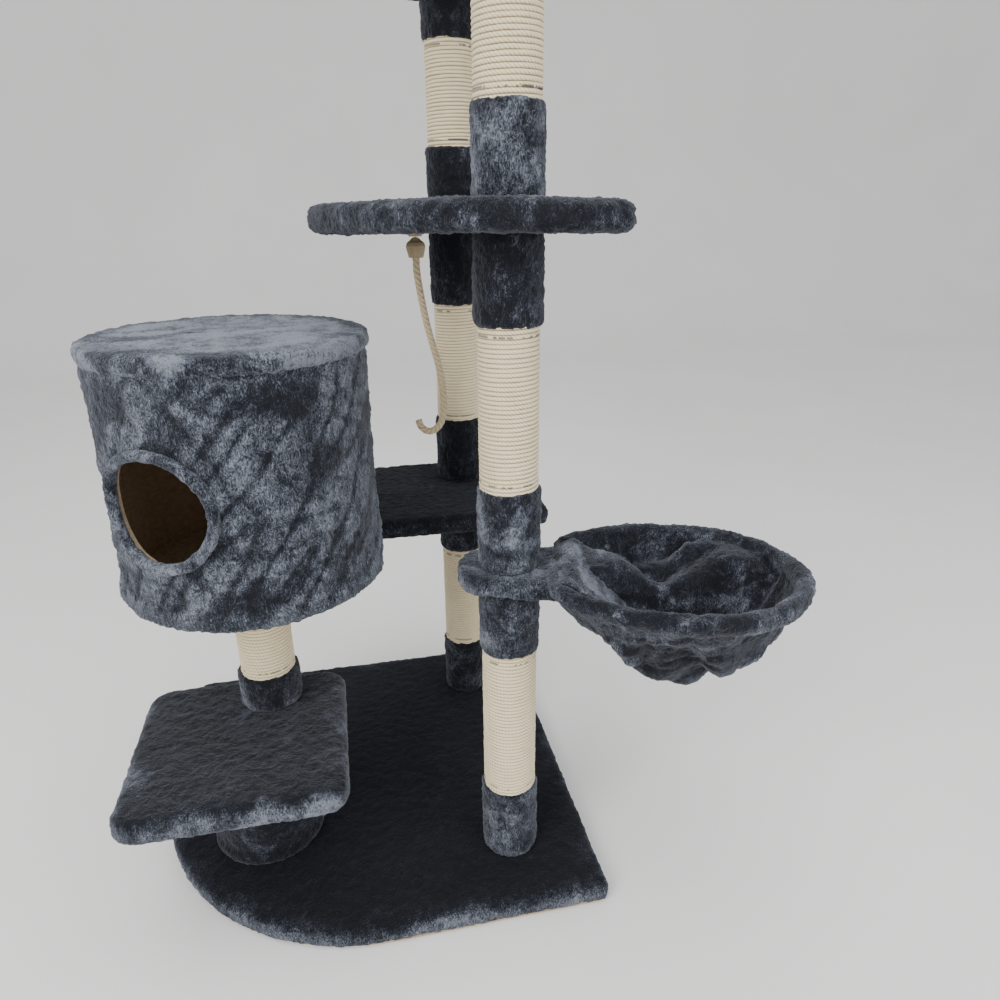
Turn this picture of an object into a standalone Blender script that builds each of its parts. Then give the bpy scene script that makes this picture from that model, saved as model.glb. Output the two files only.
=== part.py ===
"""Cat tree with two tall sisal posts, a barrel condo, two perches, a hammock and a rope toy.

The tree stands on its base board. X runs to the right, Y to the back and Z up, in metres,
with the origin in the middle of the base board's underside.
"""
import math

import bmesh
import bpy
from mathutils import Vector

# ---- Posts: cardboard tubes with sisal rope and plush sleeves
POST_A = (0.244, -0.247)            # front post
POST_B = (0.249, 0.254)             # back post
POST_C = (-0.155, -0.125)           # short post under the condo
TUBE_OUTER_R = 0.040
TUBE_WALL = 0.004
SISAL_R = 0.045
SLEEVE_R = 0.049
ROD_R = 0.004
ROD_HOLE_R = 0.0046
ROD_HEAD_R = 0.010
GAP = 0.0003                        # left between pieces that touch

# ---- Base: a square board with one large quarter-round corner at the front left
BASE_HALF = 0.384
BASE_ROUND = 0.405
BASE_SMALL_ROUND = 0.012
BASE_BOARD = 0.032
PLUSH = 0.006                       # thickness of backing cloth and pile on every cover
BASE_TOP = BASE_BOARD + PLUSH

# ---- Low step on its drum, beside the base's middle
DRUM_CENTRE = (-0.190, -0.120)
DRUM_R = 0.093
STEP_X = (-0.360, -0.037)
STEP_Y = (-0.384, -0.066)
STEP_ROUND = 0.030
STEP_Z = (0.285, 0.330)

# ---- Shelf through the back post
SHELF_X = (-0.024, 0.384)
SHELF_Y = (0.026, 0.354)
SHELF_ROUND = 0.020
SHELF_Z = (0.540, 0.578)

# ---- Upper platform on both posts: straight on the right, half an ellipse on the left
PLATFORM_MID_X = 0.314
PLATFORM_RIGHT = 0.373
PLATFORM_REACH = 0.336
PLATFORM_HALF_Y = 0.372
PLATFORM_ROUND = 0.059
PLATFORM_Z = (1.098, 1.142)

# ---- Tops: a lookout disc on the back post and a bowl bed on the front post
LOOKOUT_R = 0.170
LOOKOUT_Z = (1.500, 1.542)
BED_R = 0.200
BED_Z = (1.580, 1.602)
BED_WALL_TOP = 1.695
BED_WALL_T = 0.046

# ---- Levels where each post changes from plush to sisal and back
A_LEVELS = ((BASE_TOP, 0.178, 0.453, 0.570),
            (0.605, 0.736, 0.973, PLATFORM_Z[0]),
            (PLATFORM_Z[1], 1.252, 1.490, BED_Z[0]))
B_LEVELS = ((BASE_TOP, 0.173, 0.410, SHELF_Z[0]),
            (SHELF_Z[1], 0.714, 0.946, PLATFORM_Z[0]),
            (PLATFORM_Z[1], 1.233, 1.404, LOOKOUT_Z[0]))
C_SLEEVE_TOP = 0.395

# ---- Condo: a closed barrel with one round doorway
CONDO = (-0.147, -0.127)            # the barrel sits a little off its post
CONDO_Z = (0.579, 0.958)
CONDO_R = 0.198
CONDO_FLOOR = 0.018
CONDO_ROOF = 0.024
CONDO_WALL = 0.006
CONDO_SKIN = 0.006
DOOR_R = 0.082
DOOR_Z = 0.755
DOOR_TURN = math.radians(-120.0)    # the doorway faces the front left
TRIM_R = 0.0065

# ---- Hammock: a plate clamped in the front post carries a wire hoop and a plush bag.
# Lengths along it are measured from the post's axis in the direction of its heading.
HAMMOCK_HEADING = math.radians(-18.9)
HAMMOCK_PLATE_Z = (0.570, 0.605)
PLATE_END_R = 0.052
PLATE_END_SHIFT = -0.022
PLATE_REACH = 0.0815
HOOP_NEAR = 0.078                   # straight end of the hoop, across the plate
HOOP_MIDDLE = 0.270                 # widest place
HOOP_FAR = 0.445
HOOP_NEAR_HALF = 0.220              # half-axis of the ellipse that the near part follows
HOOP_HALF_WIDTH = 0.150
HOOP_WIRE_R = 0.004
BAG_BOTTOM = 0.415

# ---- Rope toy hanging below the upper platform
TOY = (0.138, -0.073)
TOY_TOP = PLATFORM_Z[0]
TOY_AWAY = (0.978, -0.208)          # level direction in which the rope bows
ROPE_R = 0.0050
TOY_PIVOT = 1.0752                  # height about which ferrule and rope swing
FERRULE_LOW = 1.0555

ROUND = 24                          # sides of a post
BARREL_ROUND = 40                   # sides of the condo

for old in list(bpy.data.objects):
    bpy.data.objects.remove(old, do_unlink=True)
parts = bpy.data.collections.new("cat_tree")
cutters = bpy.data.collections.new("cutters")
for group in (parts, cutters):
    bpy.context.scene.collection.children.link(group)


def material(name, colour, roughness, metallic=0.0):
    """A plain Principled material."""
    made = bpy.data.materials.new(name)
    made.use_nodes = True
    shader = made.node_tree.nodes["Principled BSDF"]
    shader.inputs["Base Color"].default_value = (*colour, 1.0)
    shader.inputs["Roughness"].default_value = roughness
    shader.inputs["Metallic"].default_value = metallic
    return made


PLUSH_BLUE = material("plush", (0.055, 0.066, 0.095), 0.95)
SISAL = material("sisal", (0.72, 0.65, 0.50), 0.90)
CARD = material("cardboard", (0.45, 0.34, 0.22), 0.85)
BOARD = material("chipboard", (0.55, 0.42, 0.28), 0.80)
STEEL = material("zinc_steel", (0.62, 0.63, 0.65), 0.35, 1.0)
TAN = material("tan_plastic", (0.52, 0.45, 0.33), 0.50)
CUSHION = material("cushion_plush", (0.075, 0.088, 0.120), 0.95)


def finish_part(bm, name, look, smooth=True):
    """Store a bmesh as a named part."""
    bmesh.ops.recalc_face_normals(bm, faces=bm.faces[:])
    mesh = bpy.data.meshes.new(name)
    bm.to_mesh(mesh)
    bm.free()
    mesh.materials.append(look)
    for face in mesh.polygons:
        face.use_smooth = smooth
    made = bpy.data.objects.new(name, mesh)
    parts.objects.link(made)
    return made


def turned(name, look, centre, profile, sides=ROUND, closed=False):
    """Turn a profile of (radius, z) about a vertical axis through centre.

    A closed profile makes a ring. An open one starts and ends on the axis.
    """
    bm = bmesh.new()
    rows = []
    for radius, z in profile:
        if radius <= 0.0:
            rows.append([bm.verts.new((centre[0], centre[1], z))])
            continue
        row = []
        for step in range(sides):
            turn = 2.0 * math.pi * step / sides
            row.append(bm.verts.new((centre[0] + radius * math.cos(turn),
                                     centre[1] + radius * math.sin(turn), z)))
        rows.append(row)
    pairs = list(zip(rows[:-1], rows[1:]))
    if closed:
        pairs.append((rows[-1], rows[0]))
    for low, high in pairs:
        for step in range(sides):
            after = (step + 1) % sides
            if len(low) == 1:
                bm.faces.new((low[0], high[after], high[step]))
            elif len(high) == 1:
                bm.faces.new((low[step], low[after], high[0]))
            else:
                bm.faces.new((low[step], low[after], high[after], high[step]))
    return finish_part(bm, name, look)


def offset(loop, distance):
    """Move a loop outwards by distance (inwards when negative)."""
    moved = []
    count = len(loop)
    for index in range(count):
        before = Vector(loop[index - 1])
        here = Vector(loop[index])
        after = Vector(loop[(index + 1) % count])
        first = (here - before).normalized()
        second = (after - here).normalized()
        out_first = Vector((first.y, -first.x))
        out_second = Vector((second.y, -second.x))
        mitre = (out_first + out_second).normalized()
        reach = distance / max(0.5, mitre.dot(out_first))
        moved.append((here.x + mitre.x * reach, here.y + mitre.y * reach))
    return moved


def lofted(name, look, loop, rings, smooth=True):
    """Join copies of a loop at (offset, z) rings, with a flat cap on the first and the last."""
    bm = bmesh.new()
    rows = []
    for distance, z in rings:
        points = offset(loop, distance) if abs(distance) > 1e-9 else loop
        rows.append([bm.verts.new((x, y, z)) for x, y in points])
    count = len(loop)
    for low, high in zip(rows[:-1], rows[1:]):
        for step in range(count):
            after = (step + 1) % count
            bm.faces.new((low[step], low[after], high[after], high[step]))
    bm.faces.new(rows[0])
    bm.faces.new(rows[-1])
    return finish_part(bm, name, look, smooth)


def drill(part, centre, radius, low, high, sides=12):
    """Cut a vertical round hole through a part."""
    bm = bmesh.new()
    rows = []
    for z in (low, high):
        rows.append([bm.verts.new((centre[0] + radius * math.cos(2.0 * math.pi * k / sides),
                                   centre[1] + radius * math.sin(2.0 * math.pi * k / sides), z))
                     for k in range(sides)])
    for k in range(sides):
        after = (k + 1) % sides
        bm.faces.new((rows[0][k], rows[0][after], rows[1][after], rows[1][k]))
    bm.faces.new(rows[0])
    bm.faces.new(rows[1])
    cut_with(part, bm, "hole in " + part.name)


def cut_with(part, bm, name):
    """Subtract a closed bmesh from a part."""
    bmesh.ops.recalc_face_normals(bm, faces=bm.faces[:])
    mesh = bpy.data.meshes.new(name)
    bm.to_mesh(mesh)
    bm.free()
    cutter = bpy.data.objects.new(name, mesh)
    cutter.hide_render = True
    cutter.display_type = "WIRE"
    cutters.objects.link(cutter)
    cut = part.modifiers.new(name, "BOOLEAN")
    cut.operation = "DIFFERENCE"
    cut.solver = "EXACT"
    cut.object = cutter


def arc(cx, cy, radius, start, end, steps):
    """Points on an arc, with angles in degrees."""
    return [(cx + radius * math.cos(math.radians(start + (end - start) * k / steps)),
             cy + radius * math.sin(math.radians(start + (end - start) * k / steps)))
            for k in range(steps + 1)]


def rectangle(xs, ys, radius, steps=3):
    """A rectangle with round corners, anticlockwise."""
    return (arc(xs[1] - radius, ys[0] + radius, radius, -90, 0, steps)
            + arc(xs[1] - radius, ys[1] - radius, radius, 0, 90, steps)
            + arc(xs[0] + radius, ys[1] - radius, radius, 90, 180, steps)
            + arc(xs[0] + radius, ys[0] + radius, radius, 180, 270, steps))


def covered_board(name, loop, low, high, rods, lip=0.030):
    """A board and the plush cover folded around it, open in the middle of the underside."""
    board_low = low + 0.0035
    board_high = high - PLUSH
    board = lofted(name + "_board", BOARD, loop,
                   ((0.0, board_high), (0.0, board_low)), smooth=False)
    t = PLUSH
    cover = lofted(name + "_cover", PLUSH_BLUE, loop,
                   ((t - 0.012, high), (t - 0.003, high - 0.003), (t, high - 0.012),
                    (t, low + 0.010), (t - 0.004, low + 0.001), (-lip, low),
                    (-lip, board_low - GAP), (GAP, board_low - GAP), (GAP, board_high + GAP)))
    for rod in rods:
        drill(board, rod, ROD_HOLE_R, low - 0.01, high + 0.01)
        drill(cover, rod, ROD_HOLE_R + 0.001, high - 0.02, high + 0.01)
    return board, cover


def sleeve(name, centre, low, high, inner, outer):
    """A plush sleeve: a ring with soft outer edges."""
    soft = 0.003
    return turned(name, PLUSH_BLUE, centre,
                  ((inner, low), (outer - soft, low), (outer, low + soft),
                   (outer, high - soft), (outer - soft, high), (inner, high)), closed=True)


def ring(name, look, centre, low, high, inner, outer, sides=ROUND):
    """A plain ring with square edges."""
    return turned(name, look, centre,
                  ((inner, low), (outer, low), (outer, high), (inner, high)), sides, closed=True)


def post_module(prefix, centre, levels):
    """One length of post: tube, lower sleeve, rope and upper sleeve."""
    low, rope_low, rope_high, high = levels
    ring(prefix + "_tube", CARD, centre, low + GAP, high - GAP,
         TUBE_OUTER_R - TUBE_WALL, TUBE_OUTER_R, 24)
    inner = TUBE_OUTER_R + GAP
    sleeve(prefix + "_lower_sleeve", centre, low + GAP, rope_low - GAP, inner, SLEEVE_R)
    ring(prefix + "_sisal", SISAL, centre, rope_low, rope_high, inner, SISAL_R)
    if high > rope_high:
        sleeve(prefix + "_upper_sleeve", centre, rope_high + GAP, high - GAP, inner, SLEEVE_R)


def rod(name, centre, top):
    """A long steel bolt with its head sunk in the base board."""
    turned(name, STEEL, centre,
           ((0.0, 0.0035), (ROD_HEAD_R, 0.0035), (ROD_HEAD_R, 0.0095), (ROD_R, 0.0095),
            (ROD_R, top), (0.0, top)), 12)


# ================================================================ base
base_loop = (arc(BASE_HALF - BASE_SMALL_ROUND, -BASE_HALF + BASE_SMALL_ROUND,
                 BASE_SMALL_ROUND, -90, 0, 3)
             + arc(BASE_HALF - BASE_SMALL_ROUND, BASE_HALF - BASE_SMALL_ROUND,
                   BASE_SMALL_ROUND, 0, 90, 3)
             + arc(-BASE_HALF + BASE_SMALL_ROUND, BASE_HALF - BASE_SMALL_ROUND,
                   BASE_SMALL_ROUND, 90, 180, 3)
             + arc(-BASE_HALF + BASE_ROUND, -BASE_HALF + BASE_ROUND,
                   BASE_ROUND, 180, 270, 13))
base_board = lofted("base_board", BOARD, base_loop, ((0.0, BASE_BOARD), (0.0, 0.0)), smooth=False)
base_cover = lofted("base_cover", PLUSH_BLUE, base_loop,
                    ((PLUSH - 0.014, BASE_TOP), (PLUSH - 0.003, BASE_TOP - 0.003),
                     (PLUSH, BASE_TOP - 0.012), (PLUSH, 0.008), (PLUSH - 0.002, 0.001),
                     (GAP, 0.001), (GAP, BASE_BOARD + GAP)))
for centre in (POST_A, POST_B, DRUM_CENTRE):
    drill(base_board, centre, ROD_HOLE_R, -0.01, 0.05)
    drill(base_board, centre, 0.0125, -0.01, 0.0100)
    drill(base_cover, centre, ROD_HOLE_R + 0.001, 0.02, 0.05)

# ================================================================ the two tall posts
for number, levels in enumerate(A_LEVELS, 1):
    post_module("front_post_%d" % number, POST_A, levels)
for number, levels in enumerate(B_LEVELS, 1):
    post_module("back_post_%d" % number, POST_B, levels)
rod("front_rod", POST_A, BED_Z[1] - 0.006)
rod("back_rod", POST_B, LOOKOUT_Z[1] - 0.012)

# ================================================================ shelf and upper platform
covered_board("shelf", rectangle(SHELF_X, SHELF_Y, SHELF_ROUND), SHELF_Z[0], SHELF_Z[1], (POST_B,))
half_y = PLATFORM_HALF_Y
corner = PLATFORM_ROUND
left_side = [(PLATFORM_MID_X - PLATFORM_REACH * math.sin(math.pi * k / 20),
              half_y * math.cos(math.pi * k / 20)) for k in range(1, 20)]
platform_loop = (arc(PLATFORM_RIGHT - corner, -half_y + corner, corner, -90, 0, 5)
                 + arc(PLATFORM_RIGHT - corner, half_y - corner, corner, 0, 90, 5) + left_side)
covered_board("platform", platform_loop, PLATFORM_Z[0], PLATFORM_Z[1], (POST_A, POST_B))

# ================================================================ lookout on the back post
covered_board("lookout", arc(POST_B[0], POST_B[1], LOOKOUT_R, 0, 348.75, 31),
              LOOKOUT_Z[0], LOOKOUT_Z[1], (POST_B,))

# ================================================================ bowl bed on the front post
bed_board = turned("bed_board", BOARD, POST_A,
                   ((0.0, BED_Z[0]), (BED_R - 0.008, BED_Z[0]),
                    (BED_R - 0.008, BED_Z[1] - 0.004), (0.0, BED_Z[1] - 0.004)), 32)
drill(bed_board, POST_A, ROD_HOLE_R, BED_Z[0] - 0.01, BED_Z[1] + 0.01)
inner = BED_R - 0.008 + GAP
turned("bed_skin", PLUSH_BLUE, POST_A,
       ((inner, BED_Z[0] + 0.001), (BED_R, BED_Z[0] + 0.001), (BED_R + 0.006, BED_Z[0] + 0.010),
        (BED_R + 0.006, BED_Z[1] + 0.004), (BED_R, BED_Z[1] + 0.0045),
        (inner, BED_Z[1] + 0.0045)), 32, closed=True)
middle = BED_R - BED_WALL_T * 0.5
low = BED_Z[1] + 0.005
mid = (low + BED_WALL_TOP) * 0.5
rise = (BED_WALL_TOP - low) * 0.5
bolster = [(middle + BED_WALL_T * 0.5 * math.cos(2 * math.pi * k / 10),
            mid + rise * math.sin(2 * math.pi * k / 10)) for k in range(10)]
turned("bed_bolster", PLUSH_BLUE, POST_A, bolster, 32, closed=True)
pad_r = BED_R - BED_WALL_T - 0.010
pad = BED_Z[1] - 0.004 + GAP
turned("bed_cushion", CUSHION, POST_A,
       ((0.0, pad), (pad_r - 0.014, pad), (pad_r - 0.003, pad + 0.006), (pad_r, pad + 0.016),
        (pad_r - 0.004, pad + 0.027), (pad_r - 0.020, pad + 0.035), (0.0, pad + 0.040)), 32)

# ================================================================ drum, low step and short post
drum_top = STEP_Z[0] - GAP
ring("drum_core", CARD, DRUM_CENTRE, BASE_TOP + GAP, drum_top,
     DRUM_R - 0.012, DRUM_R - 0.007, 32)
turned("drum_cover", PLUSH_BLUE, DRUM_CENTRE,
       ((DRUM_R - 0.0067, BASE_TOP + GAP), (DRUM_R + 0.003, BASE_TOP + GAP),
        (DRUM_R + 0.005, BASE_TOP + 0.006), (DRUM_R + 0.003, BASE_TOP + 0.018),
        (DRUM_R, BASE_TOP + 0.022), (DRUM_R, drum_top - 0.003),
        (DRUM_R - 0.003, drum_top), (DRUM_R - 0.0067, drum_top)), 32, closed=True)
step_board, step_cover = covered_board("step", rectangle(STEP_X, STEP_Y, STEP_ROUND, 4),
                                       STEP_Z[0], STEP_Z[1], (POST_C,))
drill(step_board, DRUM_CENTRE, ROD_HOLE_R, STEP_Z[0] - 0.01, STEP_Z[1] + 0.01)
ring("short_post_tube", CARD, POST_C, STEP_Z[1] + GAP, CONDO_Z[0] - GAP,
     TUBE_OUTER_R - TUBE_WALL, TUBE_OUTER_R, 24)
sleeve("short_post_sleeve", POST_C, STEP_Z[1] + GAP, C_SLEEVE_TOP - GAP,
       TUBE_OUTER_R + GAP, SLEEVE_R + 0.002)
ring("short_post_sisal", SISAL, POST_C, C_SLEEVE_TOP, CONDO_Z[0] - GAP,
     TUBE_OUTER_R + GAP, SISAL_R)
rod("drum_bolt", DRUM_CENTRE, STEP_Z[1] - 0.008)
turned("short_post_rod", STEEL, POST_C,
       ((0.0, STEP_Z[0] + 0.006), (ROD_R, STEP_Z[0] + 0.006),
        (ROD_R, CONDO_Z[0] + CONDO_FLOOR - 0.003), (0.0, CONDO_Z[0] + CONDO_FLOOR - 0.003)), 12)

# ================================================================ condo
floor_top = CONDO_Z[0] + CONDO_FLOOR
roof_low = CONDO_Z[1] - CONDO_ROOF
wall_r = CONDO_R - CONDO_SKIN
condo_floor = turned("condo_floor", BOARD, CONDO,
                     ((0.0, CONDO_Z[0]), (wall_r - CONDO_WALL - GAP, CONDO_Z[0]),
                      (wall_r - CONDO_WALL - GAP, floor_top), (0.0, floor_top)), BARREL_ROUND)
drill(condo_floor, POST_C, ROD_HOLE_R, CONDO_Z[0] - 0.01, floor_top + 0.01)
condo_wall = ring("condo_wall", CARD, CONDO, CONDO_Z[0] + 0.001, roof_low - GAP,
                  wall_r - CONDO_WALL, wall_r, BARREL_ROUND)
condo_skin = turned("condo_skin", PLUSH_BLUE, CONDO,
                    ((wall_r + GAP, CONDO_Z[0] + 0.001), (CONDO_R - 0.003, CONDO_Z[0] - 0.001),
                     (CONDO_R + 0.001, CONDO_Z[0] + 0.008), (CONDO_R + 0.001, roof_low - 0.008),
                     (CONDO_R, roof_low - GAP), (wall_r + GAP, roof_low - GAP)),
                    BARREL_ROUND, closed=True)
turned("condo_roof", PLUSH_BLUE, CONDO,
       ((0.0, roof_low), (CONDO_R - 0.002, roof_low), (CONDO_R + 0.003, roof_low + 0.006),
        (CONDO_R + 0.002, CONDO_Z[1] - 0.006), (CONDO_R - 0.006, CONDO_Z[1]),
        (0.0, CONDO_Z[1] + 0.004)), BARREL_ROUND)

door_out = Vector((math.cos(DOOR_TURN), math.sin(DOOR_TURN), 0.0))
door_side = Vector((-door_out.y, door_out.x, 0.0))
axis_point = Vector((CONDO[0], CONDO[1], DOOR_Z))


def door_cutter(radius):
    """A closed round bar through the wall along the doorway's axis."""
    bm = bmesh.new()
    rows = []
    for reach in (0.10, 0.25):
        rows.append([bm.verts.new(axis_point + door_out * reach
                                  + door_side * (radius * math.cos(2 * math.pi * k / 24))
                                  + Vector((0, 0, radius * math.sin(2 * math.pi * k / 24))))
                     for k in range(24)])
    for k in range(24):
        after = (k + 1) % 24
        bm.faces.new((rows[0][k], rows[0][after], rows[1][after], rows[1][k]))
    bm.faces.new(rows[0])
    bm.faces.new(rows[1])
    return bm


cut_with(condo_wall, door_cutter(DOOR_R), "doorway in the wall")
cut_with(condo_skin, door_cutter(DOOR_R), "doorway in the skin")

bm = bmesh.new()
rows = []
for k in range(32):
    turn = 2.0 * math.pi * k / 32
    side = (DOOR_R + 0.003) * math.cos(turn)
    up = (DOOR_R + 0.003) * math.sin(turn)
    around = side / CONDO_R
    out = door_out * math.cos(around) + door_side * math.sin(around)
    across = door_side * math.cos(around) - door_out * math.sin(around)
    spread = (across * math.cos(turn) + Vector((0, 0, math.sin(turn)))).normalized()
    heart = axis_point + out * (CONDO_R + TRIM_R + 0.0020) + Vector((0, 0, up))
    rows.append([bm.verts.new(heart + out * (TRIM_R * math.cos(2 * math.pi * j / 6))
                              + spread * (TRIM_R * math.sin(2 * math.pi * j / 6)))
                 for j in range(6)])
for k in range(32):
    for j in range(6):
        bm.faces.new((rows[k][j], rows[k][(j + 1) % 6],
                      rows[(k + 1) % 32][(j + 1) % 6], rows[(k + 1) % 32][j]))
finish_part(bm, "condo_door_trim", PLUSH_BLUE)

# ================================================================ hammock
out = Vector((math.cos(HAMMOCK_HEADING), math.sin(HAMMOCK_HEADING)))
across = Vector((-out.y, out.x))


def on_hammock(along, aside):
    """A point measured from the front post along and across the hammock."""
    return (POST_A[0] + out.x * along + across.x * aside,
            POST_A[1] + out.y * along + across.y * aside)


def plate_loop(end, half_width):
    """A round-ended tongue through the post, half_width wide each way at its outer end."""
    turn = math.degrees(HAMMOCK_HEADING)
    x, y = on_hammock(PLATE_END_SHIFT, 0.0)
    round_end = arc(x, y, PLATE_END_R, turn + 88, turn + 272, 16)
    return [on_hammock(end, -half_width), on_hammock(end, half_width)] + round_end


def hoop_loop():
    """The hoop's centre line: a short straight end, then an ellipse that ends round."""
    start = math.acos((HOOP_MIDDLE - HOOP_NEAR) / HOOP_NEAR_HALF)
    low_side = [(HOOP_MIDDLE - HOOP_NEAR_HALF * math.cos(start + (0.5 * math.pi - start) * k / 7),
                 -HOOP_HALF_WIDTH * math.sin(start + (0.5 * math.pi - start) * k / 7))
                for k in range(1, 8)]
    far_side = [(HOOP_MIDDLE + (HOOP_FAR - HOOP_MIDDLE) * math.sin(math.pi * k / 14),
                 -HOOP_HALF_WIDTH * math.cos(math.pi * k / 14)) for k in range(1, 14)]
    high_side = [(along, -aside) for along, aside in reversed(low_side)]
    corner = HOOP_HALF_WIDTH * math.sin(start)
    near = [(HOOP_NEAR + 0.004, corner - 0.004), (HOOP_NEAR, corner - 0.016), (HOOP_NEAR, 0.0),
            (HOOP_NEAR, 0.016 - corner), (HOOP_NEAR + 0.004, 0.004 - corner)]
    return [on_hammock(*point) for point in low_side + far_side + high_side + near]


def hoop_rows(bm, loop, rows):
    """Rows of points at (scale, offset, z): the loop scaled about the bag's middle, then offset."""
    heart = Vector(on_hammock(HOOP_MIDDLE, 0.0))
    made = []
    for scale, distance, z in rows:
        points = offset(loop, distance) if abs(distance) > 1e-9 else loop
        made.append([bm.verts.new((*(heart + (Vector(point) - heart) * scale), z))
                     for point in points])
    return made


plate_low, plate_high = HAMMOCK_PLATE_Z
board_high = plate_high - 0.007
hoop_z = board_high + GAP + HOOP_WIRE_R
plate = lofted("hammock_plate", BOARD, plate_loop(PLATE_REACH, 0.060),
               ((0.0, board_high), (0.0, plate_low + 0.007)), smooth=False)
drill(plate, POST_A, ROD_HOLE_R, 0.5, 0.7)
cover = lofted("hammock_plate_cover", PLUSH_BLUE, plate_loop(0.053, 0.066),
               ((-0.001, plate_high), (0.005, plate_high - 0.002), (0.009, plate_high - 0.010),
                (0.009, plate_low + 0.010), (0.005, plate_low + 0.002), (-0.001, plate_low)))
bm = bmesh.new()
pocket = offset(plate_loop(PLATE_REACH, 0.060), GAP)
rows = [[bm.verts.new((x, y, z)) for x, y in pocket]
        for z in (plate_low + 0.007 - GAP, board_high + GAP)]
for k in range(len(pocket)):
    after = (k + 1) % len(pocket)
    bm.faces.new((rows[0][k], rows[0][after], rows[1][after], rows[1][k]))
bm.faces.new(rows[0])
bm.faces.new(rows[1])
cut_with(cover, bm, "pocket for the plate")
drill(cover, POST_A, ROD_HOLE_R + 0.001, 0.5, 0.7)

hoop_line = hoop_loop()
bm = bmesh.new()
wire = hoop_rows(bm, hoop_line,
                 [(1.0, HOOP_WIRE_R * math.cos(math.pi * k / 3 + 0.5236),
                   hoop_z + HOOP_WIRE_R * math.sin(math.pi * k / 3 + 0.5236)) for k in range(6)])
for row, following in zip(wire, wire[1:] + wire[:1]):
    for k in range(len(hoop_line)):
        after = (k + 1) % len(hoop_line)
        bm.faces.new((row[k], row[after], following[after], following[k]))
finish_part(bm, "hammock_hoop", STEEL)

# The bag is folded over the hoop: it runs up inside, over the wire and down outside as a hem.
hem = board_high + 0.0006
clear = HOOP_WIRE_R + 0.0008
bm = bmesh.new()
bag = hoop_rows(bm, hoop_line,
                ((0.30, 0.0, BAG_BOTTOM), (0.60, 0.0, BAG_BOTTOM + 0.020),
                 (0.83, 0.0, BAG_BOTTOM + 0.080), (1.0, -clear - 0.0005, hem),
                 (1.0, -clear, hoop_z + 0.003), (1.0, 0.0, hoop_z + HOOP_WIRE_R + 0.0012),
                 (1.0, clear, hoop_z + 0.003), (1.0, clear, hem), (1.0, 0.0125, hem),
                 (1.0, 0.0135, hoop_z + 0.004), (1.0, 0.0095, hoop_z + 0.0110),
                 (1.0, 0.0, hoop_z + 0.0135), (1.0, -0.0100, hoop_z + 0.0100),
                 (1.0, -0.0150, hoop_z - 0.0040), (0.77, 0.0, BAG_BOTTOM + 0.086),
                 (0.55, 0.0, BAG_BOTTOM + 0.030), (0.28, 0.0, BAG_BOTTOM + 0.010)))
for row, following in zip(bag[:-1], bag[1:]):
    for k in range(len(hoop_line)):
        after = (k + 1) % len(hoop_line)
        bm.faces.new((row[k], row[after], following[after], following[k]))
bm.faces.new(bag[0])
bm.faces.new(bag[-1])
finish_part(bm, "hammock_bag", PLUSH_BLUE)

# ================================================================ rope toy
turned("toy_anchor", TAN, TOY,
       ((0.0, TOY_TOP + 0.015), (0.0022, TOY_TOP + 0.015), (0.0022, TOY_TOP + 0.0030),
        (0.0105, TOY_TOP + 0.0030), (0.0110, TOY_PIVOT + 0.0140), (0.0100, TOY_PIVOT + 0.0110),
        (0.0, TOY_PIVOT + 0.0110)), 20)
drill(bpy.data.objects["platform_board"], TOY, 0.0026, TOY_TOP - 0.004, TOY_TOP + 0.0165)

# The ferrule has a domed top centred on the pivot and a flared mouth that lets the rope tilt.
turned("toy_ferrule", TAN, TOY,
       ((0.0, TOY_PIVOT + 0.0105), (0.0052, TOY_PIVOT + 0.0091), (0.0091, TOY_PIVOT + 0.0052),
        (0.0132, TOY_PIVOT + 0.0023), (0.0150, TOY_PIVOT - 0.0022),
        (0.0148, TOY_PIVOT - 0.0062), (0.0125, TOY_PIVOT - 0.0152), (0.0114, FERRULE_LOW),
        (0.0099, FERRULE_LOW), (0.0064, TOY_PIVOT - 0.0017), (0.0, TOY_PIVOT - 0.0012)), 20)

# Route of the rope as (bow along TOY_AWAY, height), from the ferrule down to the curled end.
ROPE_ROUTE = ((0.000, TOY_PIVOT - 0.0032), (0.000, 1.056), (0.000, 1.036), (0.003, 1.010),
              (0.007, 0.984), (0.012, 0.956), (0.020, 0.922), (0.028, 0.890), (0.033, 0.858),
              (0.035, 0.825), (0.033, 0.804), (0.026, 0.788), (0.015, 0.779), (0.004, 0.779),
              (-0.005, 0.787), (-0.008, 0.797))


def smooth_route(points, per_span):
    """Points along a smooth curve that passes through every route point."""
    made = []
    last = len(points) - 1
    for index in range(last):
        before = Vector(points[max(index - 1, 0)])
        start = Vector(points[index])
        end = Vector(points[index + 1])
        after = Vector(points[min(index + 2, last)])
        for step in range(per_span):
            u = step / per_span
            made.append(0.5 * (2.0 * start + (end - before) * u
                               + (2.0 * before - 5.0 * start + 4.0 * end - after) * u * u
                               + (3.0 * start - before - 3.0 * end + after) * u * u * u))
    made.append(Vector(points[-1]))
    return made


route = smooth_route(ROPE_ROUTE, 2)
curve = bpy.data.curves.new("toy_rope", "CURVE")
curve.dimensions = "3D"
curve.bevel_depth = ROPE_R
curve.bevel_resolution = 2
curve.use_fill_caps = True
line = curve.splines.new("POLY")
line.points.add(len(route) - 1)
for point, place in zip(line.points, route):
    point.co = (TOY[0] + TOY_AWAY[0] * place.x, TOY[1] + TOY_AWAY[1] * place.x, place.y, 1.0)
curve.materials.append(TAN)
rope = bpy.data.objects.new("toy_rope", curve)
parts.objects.link(rope)
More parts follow.
